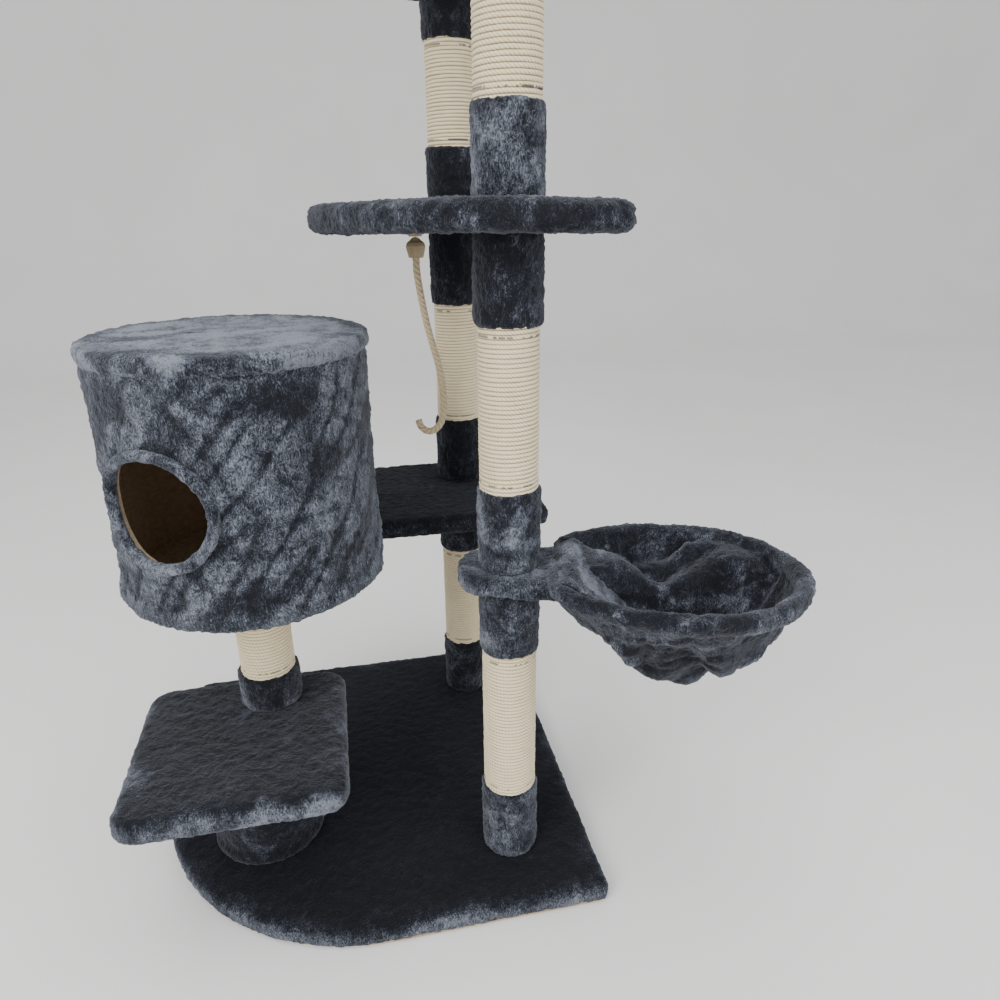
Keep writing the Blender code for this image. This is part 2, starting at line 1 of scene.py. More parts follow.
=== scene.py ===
# %% [markdown]
# # A tall cat tree in plush and sisal
#
# The frame of this cat tree comes from CAD: boards, cardboard tubes, bolts and simple stand-ins
# for everything soft. This lesson adds what makes it look real. It has slate-blue plush with a
# short standing pile, sisal rope wound on the posts, a gathered hammock, a barrel condo with a
# loose skin, and a small rope toy.
#
# The frame is loaded first and never changed, and its box is kept.

# %% Load the frame
import math

import bmesh
import bpy
from mathutils import Matrix, Vector, noise


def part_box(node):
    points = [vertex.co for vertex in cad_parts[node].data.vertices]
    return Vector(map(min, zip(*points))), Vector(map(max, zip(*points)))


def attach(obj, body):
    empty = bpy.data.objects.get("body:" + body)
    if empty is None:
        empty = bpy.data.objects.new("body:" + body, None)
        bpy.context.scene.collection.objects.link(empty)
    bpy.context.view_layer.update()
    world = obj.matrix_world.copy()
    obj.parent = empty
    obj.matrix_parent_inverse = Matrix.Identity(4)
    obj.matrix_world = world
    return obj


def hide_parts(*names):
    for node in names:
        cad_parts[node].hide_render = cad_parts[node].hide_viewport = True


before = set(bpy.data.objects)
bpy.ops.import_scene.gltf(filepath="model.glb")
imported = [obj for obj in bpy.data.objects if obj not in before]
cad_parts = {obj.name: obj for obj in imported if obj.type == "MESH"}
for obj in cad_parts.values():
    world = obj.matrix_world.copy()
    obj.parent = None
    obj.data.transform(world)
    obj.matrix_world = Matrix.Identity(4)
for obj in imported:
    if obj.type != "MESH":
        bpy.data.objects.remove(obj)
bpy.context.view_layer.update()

# %% [markdown]
# ## Small helpers
#
# Every piece goes the same way: a bmesh is shaped with operators, stored as an object at the
# origin, tied to a body and given a material. A CAD node that the piece stands for is hidden.

# %% Helpers for pieces
def middle(node):
    """The centre of a node's box."""
    low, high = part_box(node)
    return (Vector(low) + Vector(high)) * 0.5


def size(node):
    """The size of a node's box."""
    low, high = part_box(node)
    return Vector(high) - Vector(low)


def store(bm, name, look, body, nodes=(), smooth=True):
    """Make an object from a bmesh and tie it to a body."""
    mesh = bpy.data.meshes.new(name)
    bm.to_mesh(mesh)
    bm.free()
    made = bpy.data.objects.new(name, mesh)
    bpy.context.scene.collection.objects.link(made)
    return settle(made, look, body, nodes, smooth)


def settle(made, look, body, nodes=(), smooth=True):
    """Give an object its material, its body and the nodes that it stands for."""
    made.data.materials.clear()
    made.data.materials.append(look)
    if made.type == "MESH":
        for face in made.data.polygons:
            face.use_smooth = smooth
    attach(made, body)
    if nodes:
        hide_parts(*nodes)
    return made


# %% Helpers for shader nodes
def new_material(name):
    """A material with one Principled shader. Returns the material, its tree and the shader."""
    made = bpy.data.materials.new(name)
    made.use_nodes = True
    return made, made.node_tree, made.node_tree.nodes["Principled BSDF"]


def put(tree, kind, **values):
    """Add a node and set its properties and its inputs by name."""
    node = tree.nodes.new(kind)
    for key, value in values.items():
        if hasattr(node, key):
            setattr(node, key, value)
        else:
            node.inputs[key.replace("_", " ")].default_value = value
    return node


def join(tree, source, target):
    """Link two sockets."""
    tree.links.new(source, target)


def maths(tree, operation, first, second=None, third=None):
    """A Math node whose inputs are sockets or numbers."""
    node = tree.nodes.new("ShaderNodeMath")
    node.operation = operation
    for index, value in enumerate((first, second, third)):
        if value is None:
            continue
        if isinstance(value, (int, float)):
            node.inputs[index].default_value = value
        else:
            tree.links.new(value, node.inputs[index])
    return node.outputs[0]


def ramp(tree, value, stops):
    """A colour ramp through (position, colour) stops."""
    node = tree.nodes.new("ShaderNodeValToRGB")
    while len(node.color_ramp.elements) < len(stops):
        node.color_ramp.elements.new(0.5)
    for element, (place, colour) in zip(node.color_ramp.elements, stops):
        element.position = place
        element.color = colour if len(colour) == 4 else (*colour, 1.0)
    tree.links.new(value, node.inputs["Fac"])
    return node.outputs["Color"]


# %% [markdown]
# ## Camera
#
# The tree is seen from the front, a little to the left of the posts, from above chest height
# and looking down. A fairly wide lens stands close, so the posts open out towards the top.

# %% Camera
CAMERA_PLACE = (0.010, -1.272, 1.125)
CAMERA_HEADING = -12.12
CAMERA_DOWN = 21.5
CAMERA_ROLL = -0.42

lens = bpy.data.cameras.new("camera")
lens.lens = 26.64
lens.sensor_width = 36.0
camera = bpy.data.objects.new("camera", lens)
camera.location = CAMERA_PLACE
camera.rotation_euler = (Matrix.Rotation(math.radians(CAMERA_HEADING), 3, "Z")
                         @ Matrix.Rotation(math.radians(90.0 - CAMERA_DOWN), 3, "X")
                         @ Matrix.Rotation(math.radians(CAMERA_ROLL), 3, "Z")).to_euler()
bpy.context.scene.collection.objects.link(camera)
bpy.context.scene.camera = camera
print("camera", tuple(camera.location))

# %% [markdown]
# ## Shared shader groups
#
# Plush shows two things at once. In large patches the pile lies one way or the other and turns
# the cloth light or dark. Close up, the fibres clump into small tufts, and where tufts and fibre
# tips stand up the colour is lighter: partly random fibre tone, partly a painted highlight with
# painted shade between them. Both go into one group, so that every plush piece shares the same
# cloth and only its lightness differs; that lightness is painted light and shade for each piece.

# %% Plush pile group
def pile_group():
    """Colour, roughness and height of a short pile, from a place and painted light and shade."""
    tree = bpy.data.node_groups.new("plush pile", "ShaderNodeTree")
    face = tree.interface
    face.new_socket(name="Place", in_out="INPUT", socket_type="NodeSocketVector")
    face.new_socket(name="Nap and shade", in_out="INPUT", socket_type="NodeSocketFloat")
    face.new_socket(name="Cloud", in_out="INPUT", socket_type="NodeSocketFloat")
    face.new_socket(name="Color", in_out="OUTPUT", socket_type="NodeSocketColor")
    face.new_socket(name="Roughness", in_out="OUTPUT", socket_type="NodeSocketFloat")
    face.new_socket(name="Height", in_out="OUTPUT", socket_type="NodeSocketFloat")
    inside = tree.nodes.new("NodeGroupInput")
    outside = tree.nodes.new("NodeGroupOutput")
    place = inside.outputs["Place"]
    patches = put(tree, "ShaderNodeTexNoise", Scale=11.0, Detail=2.0, Roughness=0.5, Distortion=1.3)
    swirls = put(tree, "ShaderNodeTexNoise", Scale=34.0, Detail=2.0, Roughness=0.5, Distortion=1.4)
    tufts = put(tree, "ShaderNodeTexNoise", Scale=170.0, Detail=3.0, Roughness=0.65, Distortion=0.5)
    fibres = put(tree, "ShaderNodeTexNoise", Scale=560.0, Detail=2.0, Roughness=0.8, Distortion=0.2)
    for node in (patches, swirls):
        join(tree, place, node.inputs["Vector"])
    comb = put(tree, "ShaderNodeVectorMath", operation="MULTIPLY")
    join(tree, place, comb.inputs[0])
    comb.inputs[1].default_value = (1.0, 1.0, 0.42)
    lean = put(tree, "ShaderNodeVectorMath", operation="MULTIPLY_ADD")
    join(tree, swirls.outputs["Color"], lean.inputs[0])
    lean.inputs[1].default_value = (0.012, 0.012, 0.012)
    join(tree, comb.outputs["Vector"], lean.inputs[2])
    for node in (tufts, fibres):
        join(tree, lean.outputs["Vector"], node.inputs["Vector"])
    patch = maths(tree, "MULTIPLY", maths(tree, "SUBTRACT", patches.outputs["Fac"], 0.5), 1.9)
    swirl = maths(tree, "MULTIPLY", maths(tree, "SUBTRACT", swirls.outputs["Fac"], 0.5), 0.8)
    tuft = maths(tree, "MULTIPLY", maths(tree, "SUBTRACT", tufts.outputs["Fac"], 0.5), 0.8)
    fibre = maths(tree, "MULTIPLY", maths(tree, "SUBTRACT", fibres.outputs["Fac"], 0.5), 2.3)
    soft = maths(tree, "MULTIPLY", maths(tree, "ADD", patch, swirl), inside.outputs["Cloud"])
    # The Nap input carries each piece's painted light and shade.
    lie_and_shade = maths(tree, "ADD", soft, inside.outputs["Nap and shade"])
    # Tufts and fibres lighten the colour where the bump is high: partly random fibre tone, partly a
    # painted highlight on the tips with painted shade between them.
    lie_and_shade = maths(tree, "ADD", lie_and_shade, maths(tree, "ADD", tuft, fibre))
    colour = ramp(tree, lie_and_shade, ((0.0, (0.0055, 0.0062, 0.0090)), (0.28, (0.0120, 0.0140, 0.0205)),
                              (0.52, (0.043, 0.048, 0.063)), (0.78, (0.106, 0.117, 0.143)),
                              (1.0, (0.190, 0.206, 0.240))))
    join(tree, colour, outside.inputs["Color"])
    rough = maths(tree, "MULTIPLY_ADD", tufts.outputs["Fac"], 0.2, 0.75)
    join(tree, rough, outside.inputs["Roughness"])
    height = maths(tree, "ADD", maths(tree, "MULTIPLY", tufts.outputs["Fac"], 1.0),
                   maths(tree, "MULTIPLY", fibres.outputs["Fac"], 0.45))
    join(tree, height, outside.inputs["Height"])
    return tree


PILE = pile_group()


def plush_material(name, depth=0.0035, cloud=1.0, sheen=0.30):
    """Plush whose lightness comes from an attribute of the piece's own, which holds the lie of the
    pile together with painted light and shade.
    """
    made, tree, shader = new_material(name)
    coordinates = put(tree, "ShaderNodeTexCoord")
    # This attribute carries the piece's painted light and shade as well as the lie of its pile.
    nap_and_shade = put(tree, "ShaderNodeAttribute", attribute_name="nap_and_shade")
    pile = tree.nodes.new("ShaderNodeGroup")
    pile.node_tree = PILE
    join(tree, coordinates.outputs["Object"], pile.inputs["Place"])
    join(tree, nap_and_shade.outputs["Fac"], pile.inputs["Nap and shade"])
    pile.inputs["Cloud"].default_value = cloud
    join(tree, pile.outputs["Color"], shader.inputs["Base Color"])
    join(tree, pile.outputs["Roughness"], shader.inputs["Roughness"])
    bump = put(tree, "ShaderNodeBump", Strength=0.9, Distance=depth)
    join(tree, pile.outputs["Height"], bump.inputs["Height"])
    join(tree, bump.outputs["Normal"], shader.inputs["Normal"])
    shader.inputs["Sheen Weight"].default_value = sheen
    shader.inputs["Sheen Roughness"].default_value = 0.45
    shader.inputs["Sheen Tint"].default_value = (0.60, 0.64, 0.73, 1.0)
    shader.inputs["Specular IOR Level"].default_value = 0.15
    return made


PLUSH = plush_material("slate plush")
FLAT_PLUSH = plush_material("stroked plush", cloud=0.40, sheen=0.10)
BRUSHED_PLUSH = plush_material("brushed plush", cloud=0.42)
print("materials so far", len(bpy.data.materials))

# %% [markdown]
# ## Rope and board materials
#
# Sisal is a pale, hairy twisted rope. Each winding carries its own length and its own angle
# around the rope as attributes, so the twist of the strands follows the winding.

# %% Sisal material
def twisted_rope_material(name, dark, light, lay, fluff=False):
    """Twisted rope. The attributes along and around hold a point's place on the rope."""
    made, tree, shader = new_material(name)
    along = put(tree, "ShaderNodeAttribute", attribute_name="along")
    around = put(tree, "ShaderNodeAttribute", attribute_name="around")
    coordinates = put(tree, "ShaderNodeTexCoord")
    turn = maths(tree, "MULTIPLY", along.outputs["Fac"], 2.0 * math.pi / lay)
    phase = maths(tree, "ADD", turn, around.outputs["Fac"])
    strand = maths(tree, "ABSOLUTE", maths(tree, "SINE", maths(tree, "MULTIPLY", phase, 1.5)))
    strand = maths(tree, "POWER", strand, 0.6)
    spread = put(tree, "ShaderNodeCombineXYZ")
    join(tree, maths(tree, "MULTIPLY", along.outputs["Fac"], 260.0), spread.inputs["X"])
    join(tree, maths(tree, "MULTIPLY", phase, 5.0), spread.inputs["Y"])
    fibres = put(tree, "ShaderNodeTexNoise", Scale=1.0, Detail=4.0, Roughness=0.7)
    join(tree, spread.outputs[0], fibres.inputs["Vector"])
    stains = put(tree, "ShaderNodeTexNoise", Scale=28.0, Detail=3.0, Roughness=0.6)
    join(tree, coordinates.outputs["Object"], stains.inputs["Vector"])
    tone = maths(tree, "MULTIPLY_ADD", fibres.outputs["Fac"], 0.50, 0.12)
    # Each strand is painted lighter on its crest and darker between strands: painted shade between the
    # strands.
    tone = maths(tree, "ADD", tone, maths(tree, "MULTIPLY", strand, 0.35 if fluff else 0.50))
    tone = maths(tree, "ADD", tone, maths(tree, "MULTIPLY", stains.outputs["Fac"], 0.25))
    if fluff:
        # Painted shade in the seam where neighbouring turns of the rope meet.
        groove_shade = maths(tree, "POWER", maths(tree, "ABSOLUTE", maths(
            tree, "SINE", around.outputs["Fac"])), 5.0)
        tone = maths(tree, "MULTIPLY_ADD", groove_shade, -0.60, tone)
    colour = ramp(tree, tone, ((0.22, dark), (0.80, light), (1.0, light)))
    if fluff:
        stray = put(tree, "ShaderNodeAttribute", attribute_name="fluff")
        dashes = put(tree, "ShaderNodeTexNoise", Scale=1.0, Detail=2.0, Roughness=0.6)
        stretch = put(tree, "ShaderNodeVectorMath", operation="MULTIPLY")
        stretch.inputs[1].default_value = (60.0, 60.0, 25.0)
        join(tree, coordinates.outputs["Object"], stretch.inputs[0])
        join(tree, stretch.outputs["Vector"], dashes.inputs["Vector"])
        mask = maths(tree, "MULTIPLY", stray.outputs["Fac"],
                     maths(tree, "GREATER_THAN", dashes.outputs["Fac"], 0.50))
        mix = put(tree, "ShaderNodeMix", data_type="RGBA")
        join(tree, mask, mix.inputs["Factor"])
        join(tree, colour, mix.inputs[6])
        mix.inputs[7].default_value = (0.022, 0.024, 0.032, 1.0)
        colour = mix.outputs[2]
    join(tree, colour, shader.inputs["Base Color"])
    height = maths(tree, "ADD", strand, maths(tree, "MULTIPLY", fibres.outputs["Fac"], 0.7))
    bump = put(tree, "ShaderNodeBump", Strength=0.8, Distance=0.0012)
    join(tree, height, bump.inputs["Height"])
    join(tree, bump.outputs["Normal"], shader.inputs["Normal"])
    rough = maths(tree, "MULTIPLY_ADD", fibres.outputs["Fac"], 0.2, 0.72)
    join(tree, rough, shader.inputs["Roughness"])
    shader.inputs["Sheen Weight"].default_value = 0.2
    shader.inputs["Specular IOR Level"].default_value = 0.2
    return made


SISAL = twisted_rope_material("sisal", (0.40, 0.29, 0.15), (0.93, 0.81, 0.55), 0.016, fluff=True)
TOY_ROPE = twisted_rope_material("toy rope", (0.13, 0.085, 0.04), (0.56, 0.46, 0.29), 0.026)

# %% [markdown]
# ## The rope toy
#
# A tan anchor is screwed under the platform, and a bell-shaped ferrule hangs from it. The rope
# comes straight out of the ferrule, bows to one side and curls up at its cut end. Its route is
# a short list of points on one smooth curve. Three strands are laid round that curve by
# extruding a three-lobed ring from point to point, turning it a little each time.

# %% Route of the toy rope
TOY = Vector((0.138, -0.073, 0.0))
TOY_AWAY = Vector((0.978, -0.208, 0.0))
ROPE_DIAMETER = 0.010
ROPE_ROUTE = ((0.000, 1.0720), (0.000, 1.056), (0.000, 1.036), (0.003, 1.010),
              (0.007, 0.984), (0.012, 0.956), (0.020, 0.922), (0.028, 0.890), (0.033, 0.858),
              (0.035, 0.825), (0.033, 0.804), (0.026, 0.788), (0.015, 0.779), (0.004, 0.779),
              (-0.005, 0.787), (-0.008, 0.797))


def on_curve(points, per_span):
    """Points along the smooth curve through a list of vectors."""
    made = []
    last = len(points) - 1
    for index in range(last):
        before = points[max(index - 1, 0)]
        start = points[index]
        end = points[index + 1]
        after = points[min(index + 2, last)]
        for step in range(per_span):
            u = step / per_span
            made.append(0.5 * (2.0 * start + (end - before) * u
                               + (2.0 * before - 5.0 * start + 4.0 * end - after) * u * u
                               + (3.0 * start - before - 3.0 * end + after) * u * u * u))
    made.append(points[-1].copy())
    return made


toy_points = [TOY + TOY_AWAY * bow + Vector((0.0, 0.0, z)) for bow, z in ROPE_ROUTE]
toy_line = on_curve(toy_points, 10)


# %% Lay the strands along the route
def laid_rope(line, diameter, lay, sides=24):
    """A bmesh of a three-strand rope along a line, with along and around attributes."""
    bm = bmesh.new()
    along = bm.verts.layers.float.new("along")
    around = bm.verts.layers.float.new("around")
    start = bmesh.ops.create_circle(bm, cap_ends=True, segments=sides, radius=diameter * 0.5)
    ring = start["verts"]
    angles = [2.0 * math.pi * k / sides for k in range(sides)]
    ends = bm.faces[:]
    here = 0.0
    side = Vector((0.0, 1.0, 0.0))
    for index, point in enumerate(line):
        ahead = line[min(index + 1, len(line) - 1)]
        behind = line[max(index - 1, 0)]
        if index:
            here += (point - behind).length
            edges = [e for e in bm.edges if e.verts[0] in ring and e.verts[1] in ring]
            grown = bmesh.ops.extrude_edge_only(bm, edges=edges)
            fresh = [v for v in grown["geom"] if isinstance(v, bmesh.types.BMVert)]
            matched = {}
            for vert in fresh:
                for edge in vert.link_edges:
                    other = edge.other_vert(vert)
                    if other in ring:
                        matched[other] = vert
            ring = [matched[v] for v in ring]
        forward = (ahead - behind).normalized()
        side = (side - forward * side.dot(forward)).normalized()
        up = forward.cross(side)
        tip = max(0.0, 1.0 - index / 4.0) if index < 4 else 0.0
        for vert, angle in zip(ring, angles):
            swell = 0.80 + 0.20 * abs(math.sin(1.5 * angle)) ** 0.7
            turn = angle - 2.0 * math.pi * here / lay
            reach = diameter * 0.5 * swell * (1.0 - 0.12 * tip)
            vert.co = point + (side * math.cos(turn) + up * math.sin(turn)) * reach
            vert[along] = here
            vert[around] = angle - 2.0 * math.pi * here / lay
    bmesh.ops.contextual_create(bm, geom=ring)
    bmesh.ops.recalc_face_normals(bm, faces=bm.faces[:])
    return bm


rope = store(laid_rope(toy_line, ROPE_DIAMETER * 1.18, 0.026), "toy_rope_strands", TOY_ROPE,
             "toy_rope", ("toy_rope",))
print("rope faces", len(rope.data.polygons))

# %% [markdown]
# ## How the plush is made
#
# Every plush piece starts as a plain closed form made with bmesh operators. A voxel remesh
# turns it into even small squares and welds what overlaps. Then each point is pushed out or in
# by layered noise: broad dents, clumps of pile and single tufts. So the fluffy outline is real
# geometry, and the shader adds only the fibres. Each point also gets a value that tells the
# shader how light the pile looks there, and it holds painted light and shade: tops are painted
# nearly black as painted shade, edges are painted light as a painted sheen, and raised clumps
# are painted lighter than the dents.

# %% Even out a form and raise its pile
def helper_object(bm, name):
    """A scratch object holding a bmesh."""
    mesh = bpy.data.meshes.new(name)
    bm.to_mesh(mesh)
    bm.free()
    made = bpy.data.objects.new(name, mesh)
    bpy.context.scene.collection.objects.link(made)
    return made


def evaluated(thing):
    """The bmesh of an object with its modifiers applied. The object is removed."""
    graph = bpy.context.evaluated_depsgraph_get()
    mesh = bpy.data.meshes.new_from_object(thing.evaluated_get(graph))
    bm = bmesh.new()
    bm.from_mesh(mesh)
    bpy.data.meshes.remove(mesh)
    bpy.data.objects.remove(thing)
    return bm


def together(*parts):
    """One bmesh with all of these in it."""
    whole = bmesh.new()
    for part in parts:
        mesh = bpy.data.meshes.new("part of a form")
        part.to_mesh(mesh)
        part.free()
        whole.from_mesh(mesh)
        bpy.data.meshes.remove(mesh)
    return whole


def tube(points, radius, closed=False, shares=None):
    """A line of points fattened to a round tube. Each point may have its own share of radius."""
    line = bpy.data.curves.new("line", "CURVE")
    line.dimensions = "3D"
    spline = line.splines.new("POLY")
    spline.points.add(len(points) - 1)
    for point, place in zip(spline.points, points):
        point.co = (*place, 1.0)
    if shares:
        for point, share in zip(spline.points, shares):
            point.radius = share
    spline.use_cyclic_u = closed
    line.bevel_depth = radius
    line.bevel_resolution = 4
    line.use_fill_caps = not closed
    holder = bpy.data.objects.new("line", line)
    bpy.context.scene.collection.objects.link(holder)
    return evaluated(holder)


def remeshed(bm, name, voxel, smooth_steps=2, cutter=None):
    """Remesh a closed bmesh into even squares of the voxel's size."""
    rough = helper_object(bm, name + " form")
    if cutter:
        cut = rough.modifiers.new("hole", "BOOLEAN")
        cut.operation = "DIFFERENCE"
        cut.object = cutter
    evening = rough.modifiers.new("even squares", "REMESH")
    evening.mode = "VOXEL"
    evening.voxel_size = voxel
    even = evaluated(rough)
    for _ in range(smooth_steps):
        bmesh.ops.smooth_vert(even, verts=even.verts, factor=0.5,
                              use_axis_x=True, use_axis_y=True, use_axis_z=True)
    return even


def raise_pile(bm, light, length=0.0030, top_dark=0.25, seed=0.0, comb=0.35, folds=None,
               low=None):
    """Push the surface in and out as clumped pile, and store how light it looks, with painted light
    and shade.
    """
    nap_and_shade = bm.verts.layers.float.get("nap_and_shade") or bm.verts.layers.float.new("nap_and_shade")
    shift = Vector((seed * 1.7, seed * 0.9, -seed * 1.3))
    if folds:
        bm.normal_update()
        # Each of these functions gives a push and a value of painted light and shade.
        creases = [folds(vert.co, vert.normal) for vert in bm.verts]
        for vert, (push, shade) in zip(bm.verts, creases):
            vert.co += push
            vert[nap_and_shade] = shade
    bm.normal_update()
    moves = []
    for vert in bm.verts:
        place = vert.co + shift
        normal = vert.normal
        dent = noise.noise(place * 14.0)
        clump = noise.noise(place * 75.0)
        tuft = noise.noise(place * 190.0)
        comb_way = noise.noise_vector(place * 24.0)
        lift = length * (0.40 * dent + 0.55 * clump + 0.60 * tuft)
        slide = comb_way - normal * comb_way.dot(normal)
        moves.append(normal * lift + slide * (length * comb * tuft))
        # Painted light and shade: the piece's lightness, raised clumps and tufts painted lighter, and
        # tops painted darker as painted shade.
        vert[nap_and_shade] += light + 0.20 * clump + 0.14 * tuft - top_dark * max(0.0, normal.z)
    for vert, move in zip(bm.verts, moves):
        vert.co += move
        if low is not None:
            vert.co.z = max(vert.co.z, low)
    return bm


def plush(bm, name, body, nodes, voxel=0.004, slot="plush", look=None, cutter=None, **pile):
    """Finish a form as a plush piece."""
    even = remeshed(bm, name, voxel, cutter=cutter)
    raise_pile(even, **pile)
    made = store(even, name, look or PLUSH, body, nodes)
    print(name, len(made.data.polygons), "faces")
    return made


# %% [markdown]
# ## Boards under plush
#
# The base, the low step, the shelf and the platforms are all flat boards with plush pulled
# round them. A cube is scaled to the CAD cover, its upright edges are rounded and its long
# edges bevelled. The base has one corner rounded to a full quarter circle. The upper platform
# starts as a circle that is stretched and cut straight on its right side.

# %% Slab helper
def slab(node, corner, big_corner=0.0, soft=0.012, swell=0.0):
    """A rounded board the size of a node, in one bmesh."""
    bm = bmesh.new()
    made = bmesh.ops.create_cube(bm, size=1.0)
    bmesh.ops.scale(bm, vec=size(node) + Vector((swell, swell, swell)), verts=made["verts"])
    bmesh.ops.translate(bm, vec=middle(node), verts=made["verts"])
    upright = [e for e in bm.edges if abs(e.verts[0].co.z - e.verts[1].co.z) > 0.01]
    centre = middle(node)
    front_left = [e for e in upright
                  if e.verts[0].co.x < centre.x and e.verts[0].co.y < centre.y]
    if big_corner:
        bmesh.ops.bevel(bm, geom=front_left, offset=big_corner, offset_type="OFFSET", affect="EDGES",
                        segments=28, profile=0.5, material=-1)
        upright = [e for e in bm.edges if abs(e.verts[0].co.z - e.verts[1].co.z) > 0.01
                   and (e.verts[0].co.x > centre.x or e.verts[0].co.y > centre.y)
                   and e.calc_face_angle(0.0) > 1.0]
    bmesh.ops.bevel(bm, geom=upright, offset=corner, offset_type="OFFSET", affect="EDGES",
                    segments=5, profile=0.5, material=-1)
    return soften(bm, soft)


def soften(bm, soft):
    """Round the long edges between the flat faces and the sides."""
    rims = [e for e in bm.edges if abs(e.verts[0].co.z - e.verts[1].co.z) < 1e-5
            and e.calc_face_angle(0.0) > 1.0]
    bmesh.ops.bevel(bm, geom=rims, offset=soft, offset_type="OFFSET", affect="EDGES",
                    segments=4, profile=0.5, material=-1)
    bmesh.ops.recalc_face_normals(bm, faces=bm.faces[:])
    return bm


# %% Base, low step and shelf
def edge_shade(node, width, gain, big_corner=0.0):
    """Painted sheen near the rim: the pile is painted lighter within a width of the node's sides."""
    low, high = (Vector(v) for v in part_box(node))
    heart = low + Vector((big_corner, big_corner, 0.0))

    def folds(place, normal):
        inset = min(place.x - low.x, high.x - place.x, place.y - low.y, high.y - place.y)
        if big_corner and place.x < heart.x and place.y < heart.y:
            inset = big_corner - math.hypot(place.x - heart.x, place.y - heart.y)
        wander = 0.6 * width * noise.noise(place * 16.0)
        return Vector(), gain * max(0.0, 1.0 - (inset + wander) / width)
    return folds


# The light values set each board's painted light and shade, and edge_shade adds a painted sheen along
# the rims.
base = plush(slab("base_cover", 0.012, big_corner=0.405, soft=0.013), "base_plush", "tree",
             ("base_cover",), voxel=0.005, light=0.14, top_dark=0.36, seed=1.0,
             look=FLAT_PLUSH, low=0.0008, folds=edge_shade("base_cover", 0.045, 0.52, 0.405))
step = plush(slab("step_cover", 0.036, soft=0.016), "step_plush", "tree",
             ("step_cover", "step_board"), light=0.24, top_dark=0.36, seed=2.0,
             folds=edge_shade("step_cover", 0.05, 0.34))
shelf = plush(slab("shelf_cover", 0.026, soft=0.014), "shelf_plush", "tree",
              ("shelf_cover", "shelf_board"), light=0.16, top_dark=0.16, seed=3.0,
              look=FLAT_PLUSH)


# %% Upper platform and lookout
def half_round_slab(node, corner, soft):
    """A board with a straight right side and a left side that bulges as half an ellipse."""
    low, high = (Vector(v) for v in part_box(node))
    low.x += 0.007
    high.x += 0.011
    high.z -= 0.004
    bm = bmesh.new()
    bmesh.ops.create_circle(bm, cap_ends=True, segments=96, radius=1.0)
    straight = high.x - corner
    half = (high.y - low.y) * 0.5
    for vert in bm.verts:
        x, y = vert.co.x, vert.co.y
        if x > 0.0:
            x, y = corner * x ** 0.27, half * math.copysign(abs(y) ** 0.27, y)
        else:
            x, y = (straight - low.x) * x, half * y
        vert.co = Vector((straight + x, (low.y + high.y) * 0.5 + y, low.z))
    lifted = bmesh.ops.extrude_face_region(bm, geom=bm.faces[:])
    top = [v for v in lifted["geom"] if isinstance(v, bmesh.types.BMVert)]
    bmesh.ops.translate(bm, vec=(0.0, 0.0, high.z - low.z), verts=top)
    bmesh.ops.recalc_face_normals(bm, faces=bm.faces[:])
    return soften(bm, soft)


def round_slab(node, soft):
    """A round board the size of a node."""
    low, high = (Vector(v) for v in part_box(node))
    bm = bmesh.new()
    bmesh.ops.create_cone(bm, cap_ends=True, segments=64, radius1=(high.x - low.x) * 0.5,
                          radius2=(high.x - low.x) * 0.5, depth=high.z - low.z)
    bmesh.ops.translate(bm, vec=(low + high) * 0.5, verts=bm.verts)
    return soften(bm, soft)


def platform_sag(place, normal):
    """The cloth hangs a few millimetres low at the two ends of the platform, and the faces that turn
    along x are painted a little lighter, as painted light.
    """
    low, high = (Vector(v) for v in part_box("platform_cover"))
    across = (place.x - low.x) / (high.x - low.x)
    left, right = max(0.0, 1.0 - across / 0.45), max(0.0, (across - 0.65) / 0.35)
    return Vector((0.0, 0.0, -0.0075 * left - 0.003 * right)), 0.05 * abs(normal.x)


platform = plush(half_round_slab("platform_cover", 0.075, 0.015), "platform_plush", "tree",
                 ("platform_cover", "platform_board"), light=0.23, top_dark=0.02, seed=4.0,
                 length=0.0045, folds=platform_sag)
lookout = plush(round_slab("lookout_cover", 0.016), "lookout_plush", "tree",
                ("lookout_cover", "lookout_board"), light=0.44, top_dark=0.20, seed=5.0)

# %% [markdown]
# ## Plush sleeves on the posts
#
# Each post has a plush sleeve above and below its sisal. A sleeve is a tube of cloth, a little
# wider than the rope, with its ends folded in. The profile of the wall is spun about the post.
# The back post stands in shade, so its sleeves are painted much darker, as painted shade.

# %% Sleeves
def spun(profile, centre, steps=48):
    """Spin a closed (radius, z) profile about a vertical axis into a ring."""
    bm = bmesh.new()
    verts = [bm.verts.new((radius, 0.0, z)) for radius, z in profile]
    edges = [bm.edges.new((verts[k - 1], verts[k])) for k in range(len(verts))]
    bmesh.ops.spin(bm, geom=verts + edges, cent=(0.0, 0.0, 0.0), axis=(0.0, 0.0, 1.0),
                   dvec=(0.0, 0.0, 0.0), angle=2.0 * math.pi, steps=steps, use_merge=True)
    bmesh.ops.remove_doubles(bm, verts=bm.verts, dist=0.00002)
    bmesh.ops.translate(bm, vec=(centre.x, centre.y, 0.0), verts=bm.verts)
    bmesh.ops.recalc_face_normals(bm, faces=bm.faces[:])
    return bm


def sleeve(node, light, seed):
    """A plush sleeve over a node."""
    low, high = (Vector(v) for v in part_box(node))
    low.z -= 0.006 if "post_3_lower" in node else 0.0
    outer = (high.x - low.x) * 0.5
    inner = outer - 0.0095
    soft = 0.005
    profile = ((inner, low.z), (outer - soft, low.z), (outer - 0.0015, low.z + 0.0015),
               (outer, low.z + soft), (outer, high.z - soft), (outer - 0.0015, high.z - 0.0015),
               (outer - soft, high.z), (inner, high.z))
    return plush(spun(profile, middle(node)), node + "_plush", "tree", (node,), voxel=0.0033,
                 light=light, top_dark=0.1, seed=seed, length=0.0032)


